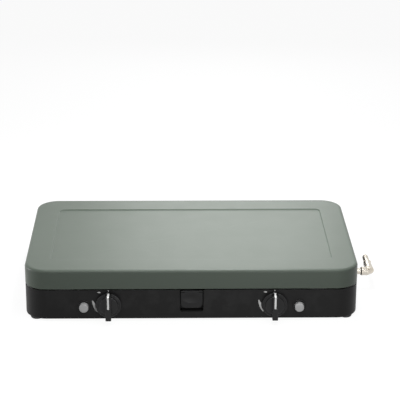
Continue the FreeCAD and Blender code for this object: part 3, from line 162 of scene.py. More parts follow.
def profile_arc(centre, wide, tall, start, end, steps):
    """An arc of a profile, as (out, up) pairs: centre + (wide * cos a, tall * sin a)."""
    return (centre + oval(wide, tall, np.linspace(start, end, steps))).tolist()


def smooth(share):
    """An S-shaped rise from 0 to 1: 3 s^2 - 2 s^3."""
    return share * share * (3 - 2 * share)


def skin(rings, closed=False):
    """Quads between neighbouring rings, each ring wrapped on itself.

    The ends are closed by fans to their middles, or to each other when the rings make a loop.
    """
    rings = np.asarray(rings, float)
    rows, around = rings.shape[:2]
    index = np.arange(rows * around).reshape(rows, around)
    ahead = np.roll(index, -1, axis=1)
    if closed:
        lower, upper = index, np.roll(index, -1, axis=0)
        lower_ahead, upper_ahead = ahead, np.roll(ahead, -1, axis=0)
    else:
        lower, upper, lower_ahead, upper_ahead = index[:-1], index[1:], ahead[:-1], ahead[1:]
    faces = np.stack([lower, lower_ahead, upper_ahead, upper], axis=-1).reshape(-1, 4).tolist()
    points = rings.reshape(-1, 3)
    if not closed:
        poles = np.stack([rings[0].mean(0), rings[-1].mean(0)])
        first, last = len(points), len(points) + 1
        points = np.vstack([points, poles])
        faces += np.stack([np.full(around, first), ahead[0], index[0]], axis=-1).tolist()
        faces += np.stack([np.full(around, last), index[-1], ahead[-1]], axis=-1).tolist()
    return points, faces


def lathe(profile, around=64, closed=False):
    """A profile of (radius, height) turned about the height: (r cos a, r sin a, h)."""
    profile = np.asarray(profile, float)
    angle = np.linspace(0, 2 * np.pi, around, endpoint=False)
    x = profile[:, :1] * np.cos(angle)
    y = profile[:, :1] * np.sin(angle)
    height = np.broadcast_to(profile[:, 1:], x.shape)
    return skin(np.stack([x, y, height], axis=-1), closed)


def grown(shape, out, height, shift=0.0):
    """A row for rounded_skin: a (half x, half y, radius) shape grown outwards, at a height."""
    return (*(shape + out), height, shift)


def rounded_skin(rows, arc=12):
    """A skin over rounded rectangles, each given as (half x, half y, radius, height, shift)."""
    return skin([at_height(outline(half_x, half_y, radius, shift, arc), height)
                 for half_x, half_y, radius, height, shift in rows])


def round_edge(edge):
    """(inset, rise) pairs of a quarter-round edge, from the flat end to the side."""
    angle = np.linspace(0, np.pi / 2, 5)
    return list(zip(edge * (1 - np.sin(angle)), edge * (1 - np.cos(angle))))


def block_side(low, high, edge_low, edge_high, draft=0.0):
    """(inset, height) pairs up the side of a block whose end edges are quarter rounds.

    The draft is how much the block's half widths shrink on the way up.
    """
    return ([(inset, low + rise) for inset, rise in round_edge(edge_low)]
            + [(inset + draft, high - fall) for inset, fall in round_edge(edge_high)[::-1]])


def prism(half_x, half_y, radius, low, high, edge_low=0.3, edge_high=0.3, arc=6, draft=0.0):
    """A rounded rectangle carried up from low to high, with quarter-round end edges."""
    smallest = 0.02
    rows = [(half_x - inset, half_y - inset, max(radius - inset, smallest), height, 0.0)
            for inset, height in block_side(low, high, edge_low, edge_high, draft)]
    return rounded_skin(rows, arc)


def hexagon(across, low, high, chamfer=0.6):
    """A hexagonal bar whose corners are turned off at both ends.

    The outline's radius is apothem / cos(angle from the nearest flat's middle).
    """
    angle = np.linspace(0, 2 * np.pi, 72, endpoint=False)
    apothem = across / 2
    flat = apothem / np.cos((angle + np.pi / 6) % (np.pi / 3) - np.pi / 6)
    corner = apothem / math.cos(math.pi / 6)
    rings = []
    for limit, height in ((apothem * 0.98, low), (corner, low + chamfer),
                          (corner, high - chamfer), (apothem * 0.98, high)):
        radius = np.minimum(flat, limit)
        rings.append(at_height(oval(radius, radius, angle), height))
    return skin(rings)


def tube(path, radius, up, around=16):
    """A circle carried along a path whose bends turn about the up direction, mitred at each point.

    A point is path + radius * (cos a * side / cos(half bend) + sin a * top).
    """
    path = np.asarray(path, float)
    runs = np.diff(path, axis=0)
    runs /= np.linalg.norm(runs, axis=1)[:, None]
    before = np.vstack([runs[:1], runs])
    after = np.vstack([runs, runs[-1:]])
    ahead = before + after
    ahead /= np.linalg.norm(ahead, axis=1)[:, None]
    stretch = 1 / np.sum(ahead * before, axis=1)[:, None]
    side = np.cross(np.asarray(up, float), ahead)
    side /= np.linalg.norm(side, axis=1)[:, None]
    top = np.cross(ahead, side)
    angle = np.linspace(0, 2 * np.pi, around, endpoint=False)[None, :, None]
    radius = np.broadcast_to(radius, len(path))[:, None, None]
    return skin(path[:, None] + radius * (np.cos(angle) * (side * stretch)[:, None]
                                          + np.sin(angle) * top[:, None]))


def helix(radius, low, high, turns, wire, around=10):
    """A coil spring along the height, as a tube round (R cos t, R sin t, rising with t).

    Its end turns are closed up, and the rise between them mixes a line with an S.
    """
    dead, bow, steps = 0.6, 0.35, 28
    turning = np.linspace(0, turns + 2 * dead, int(steps * (turns + 2 * dead)))
    share = np.clip((turning - dead) / turns, 0, 1)
    rise = (high - low - 2 * wire) * (bow * smooth(share) + (1 - bow) * share)
    angle = 2 * np.pi * turning
    path = np.column_stack([oval(radius, radius, angle), low + wire + rise])
    return tube(path, wire, (0, 0, 1), around)


def extrude(loop, low, high):
    """A flat outline, anticlockwise, carried straight up, with flat ends."""
    loop = np.asarray(loop, float)
    count = len(loop)
    points = np.vstack([at_height(loop, low), at_height(loop, high)])
    index = np.arange(count)
    ahead = np.roll(index, -1)
    faces = np.stack([index, ahead, ahead + count, index + count], axis=1).tolist()
    faces.append(index[::-1].tolist())
    faces.append((index + count).tolist())
    return points, faces


def turned(shape, centre, facing):
    """A local shape stood at a centre, its height along the way the face looks."""
    points, faces = shape
    return np.asarray(centre, float) + points @ np.array(FACING[facing], float), faces


def screw_head(radius, height):
    """A pan head: z = height * (1 - 0.45 (r / R)^2) with a cross-shaped recess sunk in."""
    crowned, driven = 0.45, 0.62
    arm_half, arm_slope, arm_reach, end_slope = 0.13, 0.05, 0.56, 0.06
    r = radius * np.concatenate([np.linspace(0.04, 0.7, 12), np.linspace(0.76, 1, 6)])[::-1]
    angle = np.linspace(0, 2 * np.pi, 56, endpoint=False)
    x = r[:, None] * np.cos(angle)
    y = r[:, None] * np.sin(angle)
    crown = height * (1 - crowned * (r / radius) ** 2)[:, None]
    arm = np.clip((arm_half * radius - np.minimum(abs(x), abs(y))) / (arm_slope * radius), 0, 1)
    reach = np.clip((arm_reach * radius - np.maximum(abs(x), abs(y))) / (end_slope * radius), 0, 1)
    top = np.stack([x, y, crown - driven * height * arm * reach], axis=-1)
    wall = at_height(top[0, :, :2], 0)
    return skin(np.concatenate([wall[None], top]))


# ---------------------------------------------------------------- pieces

def build_mesh(name, shapes):
    """One mesh from several closed shapes in millimetres."""
    points, faces, count = [], [], 0
    for shape_points, shape_faces in shapes:
        points.append(shape_points)
        faces += [[count + corner for corner in face] for face in shape_faces]
        count += len(shape_points)
    mesh = bpy.data.meshes.new(name)
    mesh.from_pydata((np.vstack(points) * MM).tolist(), [], faces)
    mesh.update()
    return mesh


def cut_away(piece, cutters):
    """Take the cutters' shapes out of a piece and keep the result as its mesh."""
    tool = bpy.data.objects.new(piece.name + "_cutter", build_mesh("cutter", cutters))
    bpy.context.scene.collection.objects.link(tool)
    modifier = piece.modifiers.new("openings", "BOOLEAN")
    modifier.operation = "DIFFERENCE"
    modifier.solver = "EXACT"
    modifier.object = tool
    graph = bpy.context.evaluated_depsgraph_get()
    mesh = bpy.data.meshes.new_from_object(piece.evaluated_get(graph))
    piece.modifiers.clear()
    piece.data = mesh
    bpy.data.objects.remove(tool)
    if len(mesh.polygons) == 0:
        raise RuntimeError(f"{piece.name}: cutting left nothing")


def add_piece(name, shapes, body, slot, replaces=(), cutters=(), sharp=32, finish=None):
    """Make a piece, shade it, give it its finish and its body, and hide what it stands for."""
    piece = bpy.data.objects.new(name, build_mesh(name, shapes))
    bpy.context.scene.collection.objects.link(piece)
    if cutters:
        cut_away(piece, cutters)
    mesh = piece.data
    mesh.shade_smooth()
    mesh.set_sharp_from_angle(angle=math.radians(sharp))
    mesh.materials.clear()
    mesh.materials.append(finish_of(finish or slot))
    weighted = piece.modifiers.new("weighted", "WEIGHTED_NORMAL")
    weighted.keep_sharp = True
    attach(piece, body)
    if replaces:
        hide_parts(*replaces)
    return piece


# ---------------------------------------------------------------- finishes

def new_node(tree, kind, **settings):
    """A shader node with its plain settings."""
    node = tree.nodes.new(kind)
    for key, value in settings.items():
        setattr(node, key, value)
    return node


def make_finish(name, colour, roughness, metallic=0.0, grain=0.5, depth=0.01, mottle=0.05,
                patch=30.0, stretch=(1, 1, 1), coat=0.0, worn=None, specks=None, spread=0.06,
                specular=0.5, coat_roughness=0.22):
    """A surface finish: cloudy colour, uneven gloss, a fine grain, rubbed edges and specks.

    grain and patch are feature sizes and depth is the relief, all in millimetres.
    """
    material = bpy.data.materials.new(name)
    material.use_nodes = True
    tree = material.node_tree
    link = tree.links.new
    shader = tree.nodes["Principled BSDF"]
    shader.inputs["Metallic"].default_value = metallic
    shader.inputs["Specular IOR Level"].default_value = specular
    if coat:
        shader.inputs["Coat Weight"].default_value = coat
        shader.inputs["Coat Roughness"].default_value = coat_roughness
    where = new_node(tree, "ShaderNodeTexCoord")
    spacing = new_node(tree, "ShaderNodeMapping")
    spacing.inputs["Scale"].default_value = stretch
    link(where.outputs["Object"], spacing.inputs["Vector"])

    def noise(size, detail, vector):
        texture = new_node(tree, "ShaderNodeTexNoise")
        texture.inputs["Scale"].default_value = 1 / (size * MM)
        texture.inputs["Detail"].default_value = detail
        link(vector, texture.inputs["Vector"])
        return texture.outputs[0]

    cloud = noise(patch, 4, where.outputs["Object"])
    fine = noise(grain, 3, spacing.outputs["Vector"])
    smudge = noise(patch * 0.35, 5, where.outputs["Object"])

    def blend(factor, first, second):
        mixer = new_node(tree, "ShaderNodeMix", data_type="RGBA")
        link(factor, mixer.inputs[0])
        for socket, value in ((mixer.inputs[6], first), (mixer.inputs[7], second)):
            if isinstance(value, tuple):
                socket.default_value = (*value, 1)
            else:
                link(value, socket)
        return mixer.outputs[2]

    def remap(value, from_low, from_high, to_low, to_high):
        change = new_node(tree, "ShaderNodeMapRange")
        link(value, change.inputs[0])
        for number, setting in enumerate((from_low, from_high, to_low, to_high), 1):
            change.inputs[number].default_value = setting
        return change.outputs[0]

    def tint(factor):
        return tuple(min(part * factor, 1.0) for part in colour)

    surface = blend(cloud, tint(1 - mottle), tint(1 + mottle))
    surface = blend(remap(fine, 0.35, 0.65, 0.0, mottle), surface, tint(0.6))
    if specks:
        dots = new_node(tree, "ShaderNodeTexVoronoi")
        dots.inputs["Scale"].default_value = 1 / (specks[1] * MM)
        link(where.outputs["Object"], dots.inputs["Vector"])
        surface = blend(remap(dots.outputs["Distance"], 0.0, 0.22, 0.8, 0.0), surface, specks[0])
    if worn:
        edge = new_node(tree, "ShaderNodeNewGeometry")
        rubbed = new_node(tree, "ShaderNodeMath", operation="MULTIPLY")
        link(remap(edge.outputs["Pointiness"], 0.53, 0.62, 0.0, 1.0), rubbed.inputs[0])
        link(remap(smudge, 0.45, 0.62, 0.0, 0.6), rubbed.inputs[1])
        surface = blend(rubbed.outputs[0], surface, worn)
    link(surface, shader.inputs["Base Color"])
    gloss = remap(smudge, 0.3, 0.7, roughness - spread, roughness + spread)
    link(gloss, shader.inputs["Roughness"])
    relief = new_node(tree, "ShaderNodeBump")
    relief.inputs["Strength"].default_value = 1.0
    relief.inputs["Distance"].default_value = depth * MM
    link(fine, relief.inputs["Height"])
    link(relief.outputs["Normal"], shader.inputs["Normal"])
    return material


def finish_table():
    """Every finish's settings by name: the record's slots, and a few of this file's own."""
    colours = bpy.context.scene.stove_colours
    return {
        "lid_paint": dict(colour=tuple(colours.lid_paint), roughness=0.40, grain=0.55, depth=0.010,
                          mottle=0.018, patch=90, worn=(0.2, 0.22, 0.2), spread=0.015,
                          specular=0.25),
        "base_paint": dict(colour=tuple(colours.base_paint), roughness=0.46, grain=0.5, depth=0.02,
                           mottle=0.08, patch=60, worn=(0.04, 0.04, 0.04), spread=0.03,
                           specular=0.14),
        "stainless": dict(colour=(0.40, 0.40, 0.395), roughness=0.36, metallic=1.0, grain=0.35,
                          depth=0.004, mottle=0.03, patch=60, stretch=(0.04, 1, 1), spread=0.02),
        "zinc_steel": dict(colour=(0.50, 0.51, 0.53), roughness=0.36, metallic=1.0, grain=0.4,
                           depth=0.004, mottle=0.1, patch=8, spread=0.08),
        "chrome_wire": dict(colour=(0.62, 0.62, 0.63), roughness=0.17, metallic=1.0, grain=0.8,
                            depth=0.003, mottle=0.07, patch=18, spread=0.06,
                            worn=(0.7, 0.68, 0.64)),
        "inlet_brass": dict(colour=tuple(colours.inlet), roughness=0.27, metallic=1.0, grain=0.5,
                            depth=0.004, mottle=0.07, patch=6, stretch=(1, 1, 0.4), spread=0.06,
                            worn=(0.85, 0.66, 0.42)),
        "tap_brass": dict(colour=(0.68, 0.47, 0.2), roughness=0.3, metallic=1.0, grain=0.5,
                          depth=0.006, mottle=0.12, patch=9, spread=0.08, worn=(0.78, 0.6, 0.32)),
        "cast_aluminium": dict(colour=(0.48, 0.48, 0.48), roughness=0.5, metallic=1.0, grain=0.8,
                               depth=0.03, mottle=0.12, patch=12, spread=0.08),
        "black_cap": dict(colour=(0.018, 0.018, 0.019), roughness=0.34, grain=0.7, depth=0.02,
                          mottle=0.2, patch=14, worn=(0.09, 0.085, 0.08),
                          specks=((0.05, 0.05, 0.052), 1.6)),
        "black_plastic": dict(colour=tuple(colours.plastic), roughness=0.22, grain=0.35,
                              depth=0.006, mottle=0.14, patch=14, worn=(0.05, 0.05, 0.05),
                              spread=0.05, specular=0.25),
        "black_screw": dict(colour=(0.02, 0.02, 0.021), roughness=0.5, grain=0.5, depth=0.006,
                            mottle=0.1, patch=6, worn=(0.12, 0.12, 0.12), spread=0.04),
        "tab_plastic": dict(colour=tuple(colours.plastic), roughness=0.5, grain=0.35, depth=0.008,
                            mottle=0.1, patch=14, worn=(0.05, 0.05, 0.05), spread=0.03,
                            specular=0.2),
        # Painted shade: the latch pocket's housing and pin are darkened to stand for the shade in
        # the recess.
        "pocket_painted_shade": dict(colour=(0.004, 0.004, 0.004), roughness=0.7, grain=0.4, depth=0.02,
                               mottle=0.2, patch=9, spread=0.05),
        "grey_plastic": dict(colour=tuple(colours.buttons), roughness=0.38, grain=0.4, depth=0.012,
                             mottle=0.06, patch=6, spread=0.05),
        "white_plastic": dict(colour=(0.92, 0.92, 0.91), roughness=0.4, grain=0.5, depth=0.006,
                              mottle=0.03, patch=6),
        "rubber": dict(colour=(0.022, 0.022, 0.022), roughness=0.75, grain=0.4, depth=0.03,
                       mottle=0.2, patch=7, worn=(0.06, 0.06, 0.06)),
        "white_ceramic": dict(colour=(0.80, 0.79, 0.74), roughness=0.22, grain=1.0, depth=0.004,
                              mottle=0.05, patch=5, coat=0.4),
        "sensor_copper": dict(colour=(0.72, 0.4, 0.25), roughness=0.28, metallic=1.0, grain=0.5,
                              depth=0.004, mottle=0.15, patch=7, worn=(0.5, 0.26, 0.2)),
        "ink": dict(colour=tuple(colours.ink), roughness=0.5, grain=0.3, depth=0.003, mottle=0.08,
                    patch=3),
        "spring_steel": dict(colour=(0.42, 0.42, 0.43), roughness=0.25, metallic=1.0, grain=0.3,
                             depth=0.003, mottle=0.1, patch=5),
        "wire_sleeve": dict(colour=(0.55, 0.16, 0.05), roughness=0.5, grain=0.3, depth=0.006,
                            mottle=0.08, patch=9),
    }


def finish_of(name):
    """The named finish, made the first time it is asked for."""
    title = name + "_finish"
    return bpy.data.materials.get(title) or make_finish(title, **finish_table()[name])


class StoveOperator:
    """Shared settings of the operators."""
    bl_options = {"REGISTER", "UNDO"}

    @classmethod
    def poll(cls, context):
        return context.scene is not None


# Hidden or sunken CAD nodes that look otherwise than their slot. The latch housing and pin get a
# near-black finish that paints the shade inside the latch pocket.
OWN_FINISH = {"igniter_wires": "wire_sleeve", "latch_housing": "pocket_painted_shade",
              "latch_pin": "pocket_painted_shade"}


class STOVE_OT_finishes(StoveOperator, bpy.types.Operator):
    """Give every carried-over CAD node its finish"""
    bl_idname = "stove.finishes"
    bl_label = "Finishes"

    def execute(self, context):
        slots = {node: item.data.materials[0].name.split(".")[0]
                 for node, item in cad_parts.items()}
        for node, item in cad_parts.items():
            item.data.materials.clear()
            item.data.materials.append(finish_of(OWN_FINISH.get(node, slots[node])))
        return {"FINISHED"}


# ---------------------------------------------------------------- lid

# Half x, half y and corner radius of the lid's outside and of its pressed panel.
LID_SHAPE = np.array([LID_HIGH[0], LID_HIGH[1], 36.0])
PANEL = np.array([226.0, 116.5, 10.0])
PANEL_SHIFT = -2.0


def lid_section(sheet, sizes):
    """The pressed lid from its middle to its side, as rows for rounded_skin.

    sheet is how far the surface lies inside the outer one. The panel step follows
    3 s^2 - 2 s^3, the top falls by crown * s^2 towards the edge, and the edge is a quarter
    circle.
    """
    step, slope, edge = sizes.panel_step / MM, sizes.panel_slope / MM, sizes.lid_edge / MM
    crown, top, bend = 0.35, LID_HIGH[2] - sheet, edge - sheet
    flat = LID_SHAPE - edge
    rows = [grown(share * (PANEL - slope), 0, top - step, PANEL_SHIFT) for share in (0.1, 0.5, 0.9)]
    rows += [grown(PANEL, -slope * (1 - s), top - step * (1 - smooth(s)), PANEL_SHIFT)
             for s in np.linspace(0, 1, 9)]
    rows += [grown(PANEL + s * (flat - PANEL), 0, top - crown * s * s, PANEL_SHIFT * (1 - s))
             for s in (0.05, 0.35, 0.65, 0.95)]
    rows += [grown(flat, bend * math.sin(a), LID_HIGH[2] - edge + (bend - crown) * math.cos(a))
             for a in np.linspace(0, np.pi / 2, 9)]
    return rows


class STOVE_OT_lid(StoveOperator, bpy.types.Operator):
    """Pressed lid with a sunk panel, a bent edge and a folded hem"""
    bl_idname = "stove.lid"
    bl_label = "Lid"

    def execute(self, context):
        sizes = context.scene.stove_sizes
        low, sheet, width, height, roll = LID_LOW[2] + 0.25, 1.0, 6.0, 2.7, 0.8
        hem = [(sheet, height + 0.4), (width - 0.5, height + 0.1), (width, height - 0.5),
               (width, 0.3), (width - 0.3, 0.0)] + round_edge(roll)
        rows = (lid_section(sheet, sizes)
                + [grown(LID_SHAPE, -inset, low + rise) for inset, rise in hem]
                + lid_section(0.0, sizes)[::-1])
        add_piece("lid", [rounded_skin(rows, 18)], "lid", "lid_paint", ["lid_shell"])
        return {"FINISHED"}


# ---------------------------------------------------------------- base

KNOB_X, KNOB_Z = 131.5, middle_of("knob_left")[2]
BUTTON_X, BUTTON_Z = 170.5, middle_of("igniter_button_left")[2]
INLET = (0, -30.0, middle_of("inlet_elbow")[2])
WALL = -BASE_LOW[1]
LATCH_LOW = span("latch_housing")[0][2] + 2
SCREW_SIDE_Y, SCREW_FRONT_X = 95.0, 75.0
FOOT_TOP, FOOT_OUT = 11.0, 3.2
FOOT_X, FOOT_Y = (reach - FOOT_TOP + FOOT_OUT for reach in span("rubber_feet")[1][:2])


class STOVE_OT_base(StoveOperator, bpy.types.Operator):
    """Folded steel tray with its openings, rolled rim, pressed floor and screw tabs"""
    bl_idname = "stove.base"
    bl_label = "Base tray"

    def execute(self, context):
        edge = context.scene.stove_sizes.base_edge / MM
        low, high = BASE_LOW[2] - 0.6, BASE_HIGH[2] - 0.35
        sheet, roll, pressed, slope = 1.0, 0.45, 0.7, 2.5
        side = np.array([BASE_HIGH[0], BASE_HIGH[1], 34.7])
        pan = np.array([196.0, 98.0, 14.0])

        def section(level, inset):
            """Rows from the floor's raised middle to the top of the bend into the wall."""
            radius = edge - inset
            return ([grown(0.1 * pan, 0, level + pressed)]
                    + [grown(pan, slope * s, level + pressed * (1 - smooth(s)))
                       for s in np.linspace(0, 1, 6)]
                    + [grown(side, radius * math.sin(a) - edge, level + radius * (1 - math.cos(a)))
                       for a in np.linspace(0, np.pi / 2, 8)])

        rim = [grown(side, -sheet / 2 * (1 - math.cos(a)), high - roll * (1 - math.sin(a)))
               for a in np.linspace(0, np.pi, 9)]
        shell = rounded_skin(section(low, 0.0) + rim + section(low + sheet, sheet)[::-1], 18)

        knob_hole, button_hole, inlet_hole, mouth_half, mouth_corner = 7.2, 9.1, 5.5, 18.75, 4.0
        through = (WALL - 3, WALL + 3)
        cutters = [turned(lathe([(radius, depth) for depth in through]), (sign * x, 0, z), "front")
                   for _, sign in SIDES
                   for x, z, radius in ((KNOB_X, KNOB_Z, knob_hole),
                                        (BUTTON_X, BUTTON_Z, button_hole))]
        mouth = rounded_skin([(mouth_half, high - LATCH_LOW, mouth_corner, depth, 0.0)
                              for depth in through])
        cutters.append(turned(mouth, (0, 0, high), "front"))
        cutters.append(turned(lathe([(inlet_hole, side[0] - 3), (inlet_hole, side[0] + 3)]),
                              INLET, "right"))

        tabs = []
        shelf, long, short, inset = HOB_HIGH[2] - 1 - 0.01, 8.2, 8.0, 7.7
        for sign_x, sign_y in CORNERS:
            for x, y, half in ((HOB_HIGH[0] - inset, SCREW_SIDE_Y, (long, short)),
                               (SCREW_FRONT_X, HOB_HIGH[1] - inset, (short, long))):
                tabs.append(turned(prism(*half, 2.0, shelf - 1, shelf, 0.2, 0.2),
                                   (sign_x * x, sign_y * y, 0), "top"))
        add_piece("base", [shell], "case", "base_paint", ["base_tray"], cutters)
        add_piece("deck_tabs", tabs, "case", "base_paint")
        return {"FINISHED"}


class STOVE_OT_marks(StoveOperator, bpy.types.Operator):
    """Printed control marks: a flame-size wedge, a spark and an off dot by each knob"""
    bl_idname = "stove.marks"
    bl_label = "Printed marks"

    def execute(self, context):
        angle = np.radians(np.linspace(166, 217, 28))
        share = np.linspace(0, 1, 28)
        inner = 21.3 + 3.9 * np.clip(1 - share / 0.2, 0, 1)
        outer = 22.9 + 3.8 * (1 - share) ** 1.4
        wedge = np.concatenate([oval(outer, outer, angle), oval(inner, inner, angle)[::-1]])
        turn = np.linspace(0, 2 * np.pi, 32, endpoint=False)
        spark_at = 25.2 * np.array([math.cos(math.radians(127)), math.sin(math.radians(127))])
        spark = oval(2.7, 1.05 * (1.15 + 0.5 * np.cos(turn)), turn) + spark_at
        dot = oval(0.9, 0.9, turn) + (0, 22.6)
        ink = (WALL - 0.02, WALL + 0.06)
        marks = [turned(extrude(loop, *ink), (sign * KNOB_X, 0, KNOB_Z), "front")
                 for _, sign in SIDES for loop in (wedge, spark, dot)]
        add_piece("control_marks", marks, "case", "white_plastic", finish="ink")
        return {"FINISHED"}


# ---------------------------------------------------------------- controls

class STOVE_OT_knobs(StoveOperator, bpy.types.Operator):
    """Control knobs: a stepped skirt, a long grip and a white line let into it"""
    bl_idname = "stove.knobs"
    bl_label = "Knobs"

    def execute(self, context):
        bevel, half, heel, quarter = 1.3, 4.8, 4.2, np.pi / 2
        for side, sign in SIDES:
            low, high = span(f"knob_{side}")
            skirt, deep, grip = (high[0] - low[0]) / 2, high[1] - low[1], (high[2] - low[2]) / 2
            profile = [(0.4, 3.5), (11.3, 3.5), (11.5, 3.3), (11.5, 0.2), (11.7, 0),
                       (skirt - 0.5, 0), (skirt - 0.1, 0.2), (skirt, 0.6), (skirt, 1.2)]
            profile += profile_arc((skirt - bevel, 1.2), bevel, bevel, 0.2, quarter, 6)
            profile += [(15.9, 2.6), (15.5, 2.9), (15.35, 3.4), (15.2, 4.7)]
            profile += profile_arc((13.9, 4.7), bevel, bevel, 0.2, quarter, 6)
            profile += [(9.0, 6.15), (0.4, 6.2)]
            groove = profile_arc((17.6, 2.55), 0.35, 0.35, 0, 3.5 * quarter, 8)
            fin = prism(half, grip, bevel, 3.6, deep - 0.1, 0.3, 0.9, 7, 0.25)
            end = prism(half, heel, bevel, 1.2, 4.6, 0.3, 0.3, 7)
            shapes = ((lathe(profile, 96), 0), (fin, 0), (end, heel - grip), (end, grip - heel),
                      (lathe(groove, 96, closed=True), 0))
            add_piece(f"knob_{side}_grip",
                      [turned(shape, (sign * KNOB_X, high[1], KNOB_Z + rise), "front")
                       for shape, rise in shapes],
                      f"control_{side}", "black_plastic", [f"knob_{side}"])

            corner, line_end, line_half = 1.1, grip - 0.1, 1.5
            turn = np.linspace(0, quarter, 7)[1:]
            path = np.concatenate([
                np.linspace((2.5, grip + 0.3), (deep - corner, line_end), 6),
                (deep - corner, line_end - corner) + oval(corner, corner, quarter - turn),
                np.linspace((deep, line_end - corner), (deep, 0), 7)[1:]])
            ahead = np.gradient(path, axis=0)
            ahead /= np.linalg.norm(ahead, axis=1)[:, None]
            outward = np.stack([-ahead[:, 1], ahead[:, 0]], axis=1)
            rings = [np.column_stack([np.full(len(path), across), (path - sink * outward)[:, ::-1]])
                     for across, sink in ((-line_half, 0.55), (line_half, 0.55), (line_half, 0.05),
                                          (line_half - 0.12, 0), (0.12 - line_half, 0),
                                          (-line_half, 0.05))]
            line = turned(skin(np.stack(rings, axis=1)), (sign * KNOB_X, high[1], KNOB_Z), "front")
            add_piece(f"knob_{side}_line", [line], f"control_{side}", "white_plastic",
                      [f"knob_pointer_{side}"])
        return {"FINISHED"}


class STOVE_OT_buttons(StoveOperator, bpy.types.Operator):
    """Igniter buttons with a domed face, and the rings they slide in"""
    bl_idname = "stove.buttons"
    bl_label = "Igniter buttons"

    def execute(self, context):
        edge, dome, rings = 1.0, 0.35, []
        section = [(9.15, -0.3), (10.9, -0.3), (11.0, 0.35), (10.75, 1.1), (10.3, 1.6), (9.9, 1.7),
                   (9.5, 1.6), (9.2, 1.2)]
        for side, sign in SIDES:
            low, high = span(f"igniter_button_{side}")
            radius, front = (high[0] - low[0]) / 2 - 0.3, high[1] - low[1]
            head = front - 12.6
            profile = [(0.3, 0), (3.2, 0), (3.5, 0.3), (3.5, head - 0.2), (3.7, head),
                       (radius - 0.3, head), (radius, head + 0.3)]
            profile += profile_arc((radius - edge, front - dome - edge), edge, edge,
                                   0, np.pi / 2, 7)
            profile += [(r, front - dome * (r / radius) ** 2)
                        for r in np.linspace(radius - edge - 0.4, 0.3, 8)]
            add_piece(f"button_{side}_cap",
                      [turned(lathe(profile), (sign * BUTTON_X, high[1], BUTTON_Z), "front")],
                      f"button_{side}", "grey_plastic", [f"igniter_button_{side}"])
            rings.append(turned(lathe(section, 72, closed=True),
                                (sign * BUTTON_X, -WALL, BUTTON_Z), "front"))
        add_piece("button_rings", rings, "case", "black_plastic", ["igniter_bezels"])
        return {"FINISHED"}


class STOVE_OT_latch(StoveOperator, bpy.types.Operator):
    """Latch tab: a moulded plate with a finger scoop, side notches, an arm and a hook"""
    bl_idname = "stove.latch"
    bl_label = "Latch"

    def execute(self, context):
        depth = context.scene.stove_sizes.scoop_depth / MM
        low, high = span("latch_tab")
        top = span("latch_housing")[1][2]
        half_x, middle, half_z = high[0], (low[2] + top) / 2, (top - low[2]) / 2
        rear, front = -high[1], -low[1]
        radii = np.array([0.8, 0.8, 9.0, 9.0])
        loops = [at_height(evenly(outline(half_x - inset, half_z - inset,
                                          np.maximum(radii - inset, 0.05), arc=16)), height)
                 for inset, height in block_side(rear, front, 0.5, 1.0)]
        rim = loops[-1][:, :2]
        wide, tall, centre = 14.6, 8.5, np.array([0.0, 38.4 - middle])
        across, up = ((rim - centre) / (wide, tall)).T
        dish = oval(wide, tall, np.arctan2(up, across))
        loops += [at_height(rim + share * (centre + dish - rim), front)
                  for share in (0.3, 0.7, 0.98)]
        loops += [at_height(centre + share * dish, front - depth * (1 - share ** 2))
                  for share in np.linspace(1.0, 0.02, 24)]
        plate = turned(skin(loops), (0, 0, middle), "front")
        notch = prism(4.2, 0.45, 0.1, front - 1.6, front + 1, 0.02, 0.02)
        cutters = [turned(notch, (sign * (half_x - 3.4), 0, 48.6), "front") for _, sign in SIDES]
        hook_half, hook_tall = 8.0, 1.1
        arm = turned(prism(hook_half, (high[2] - top + 1) / 2, 0.4, rear, rear + 2.5, 0.2, 0.2),
                     (0, 0, (high[2] + top - 1) / 2), "front")
        nose = turned(prism(hook_half, hook_tall, 0.4, rear + 1.5, rear + 4.9, 0.2, 0.5),
                      (0, 0, high[2] - hook_tall), "front")
        add_piece("latch_plate", [plate], "latch", "black_plastic", ["latch_tab"], cutters,
                  sharp=40, finish="tab_plastic")
        add_piece("latch_hook", [arm, nose], "latch", "black_plastic")
        return {"FINISHED"}


# ---------------------------------------------------------------- gas inlet

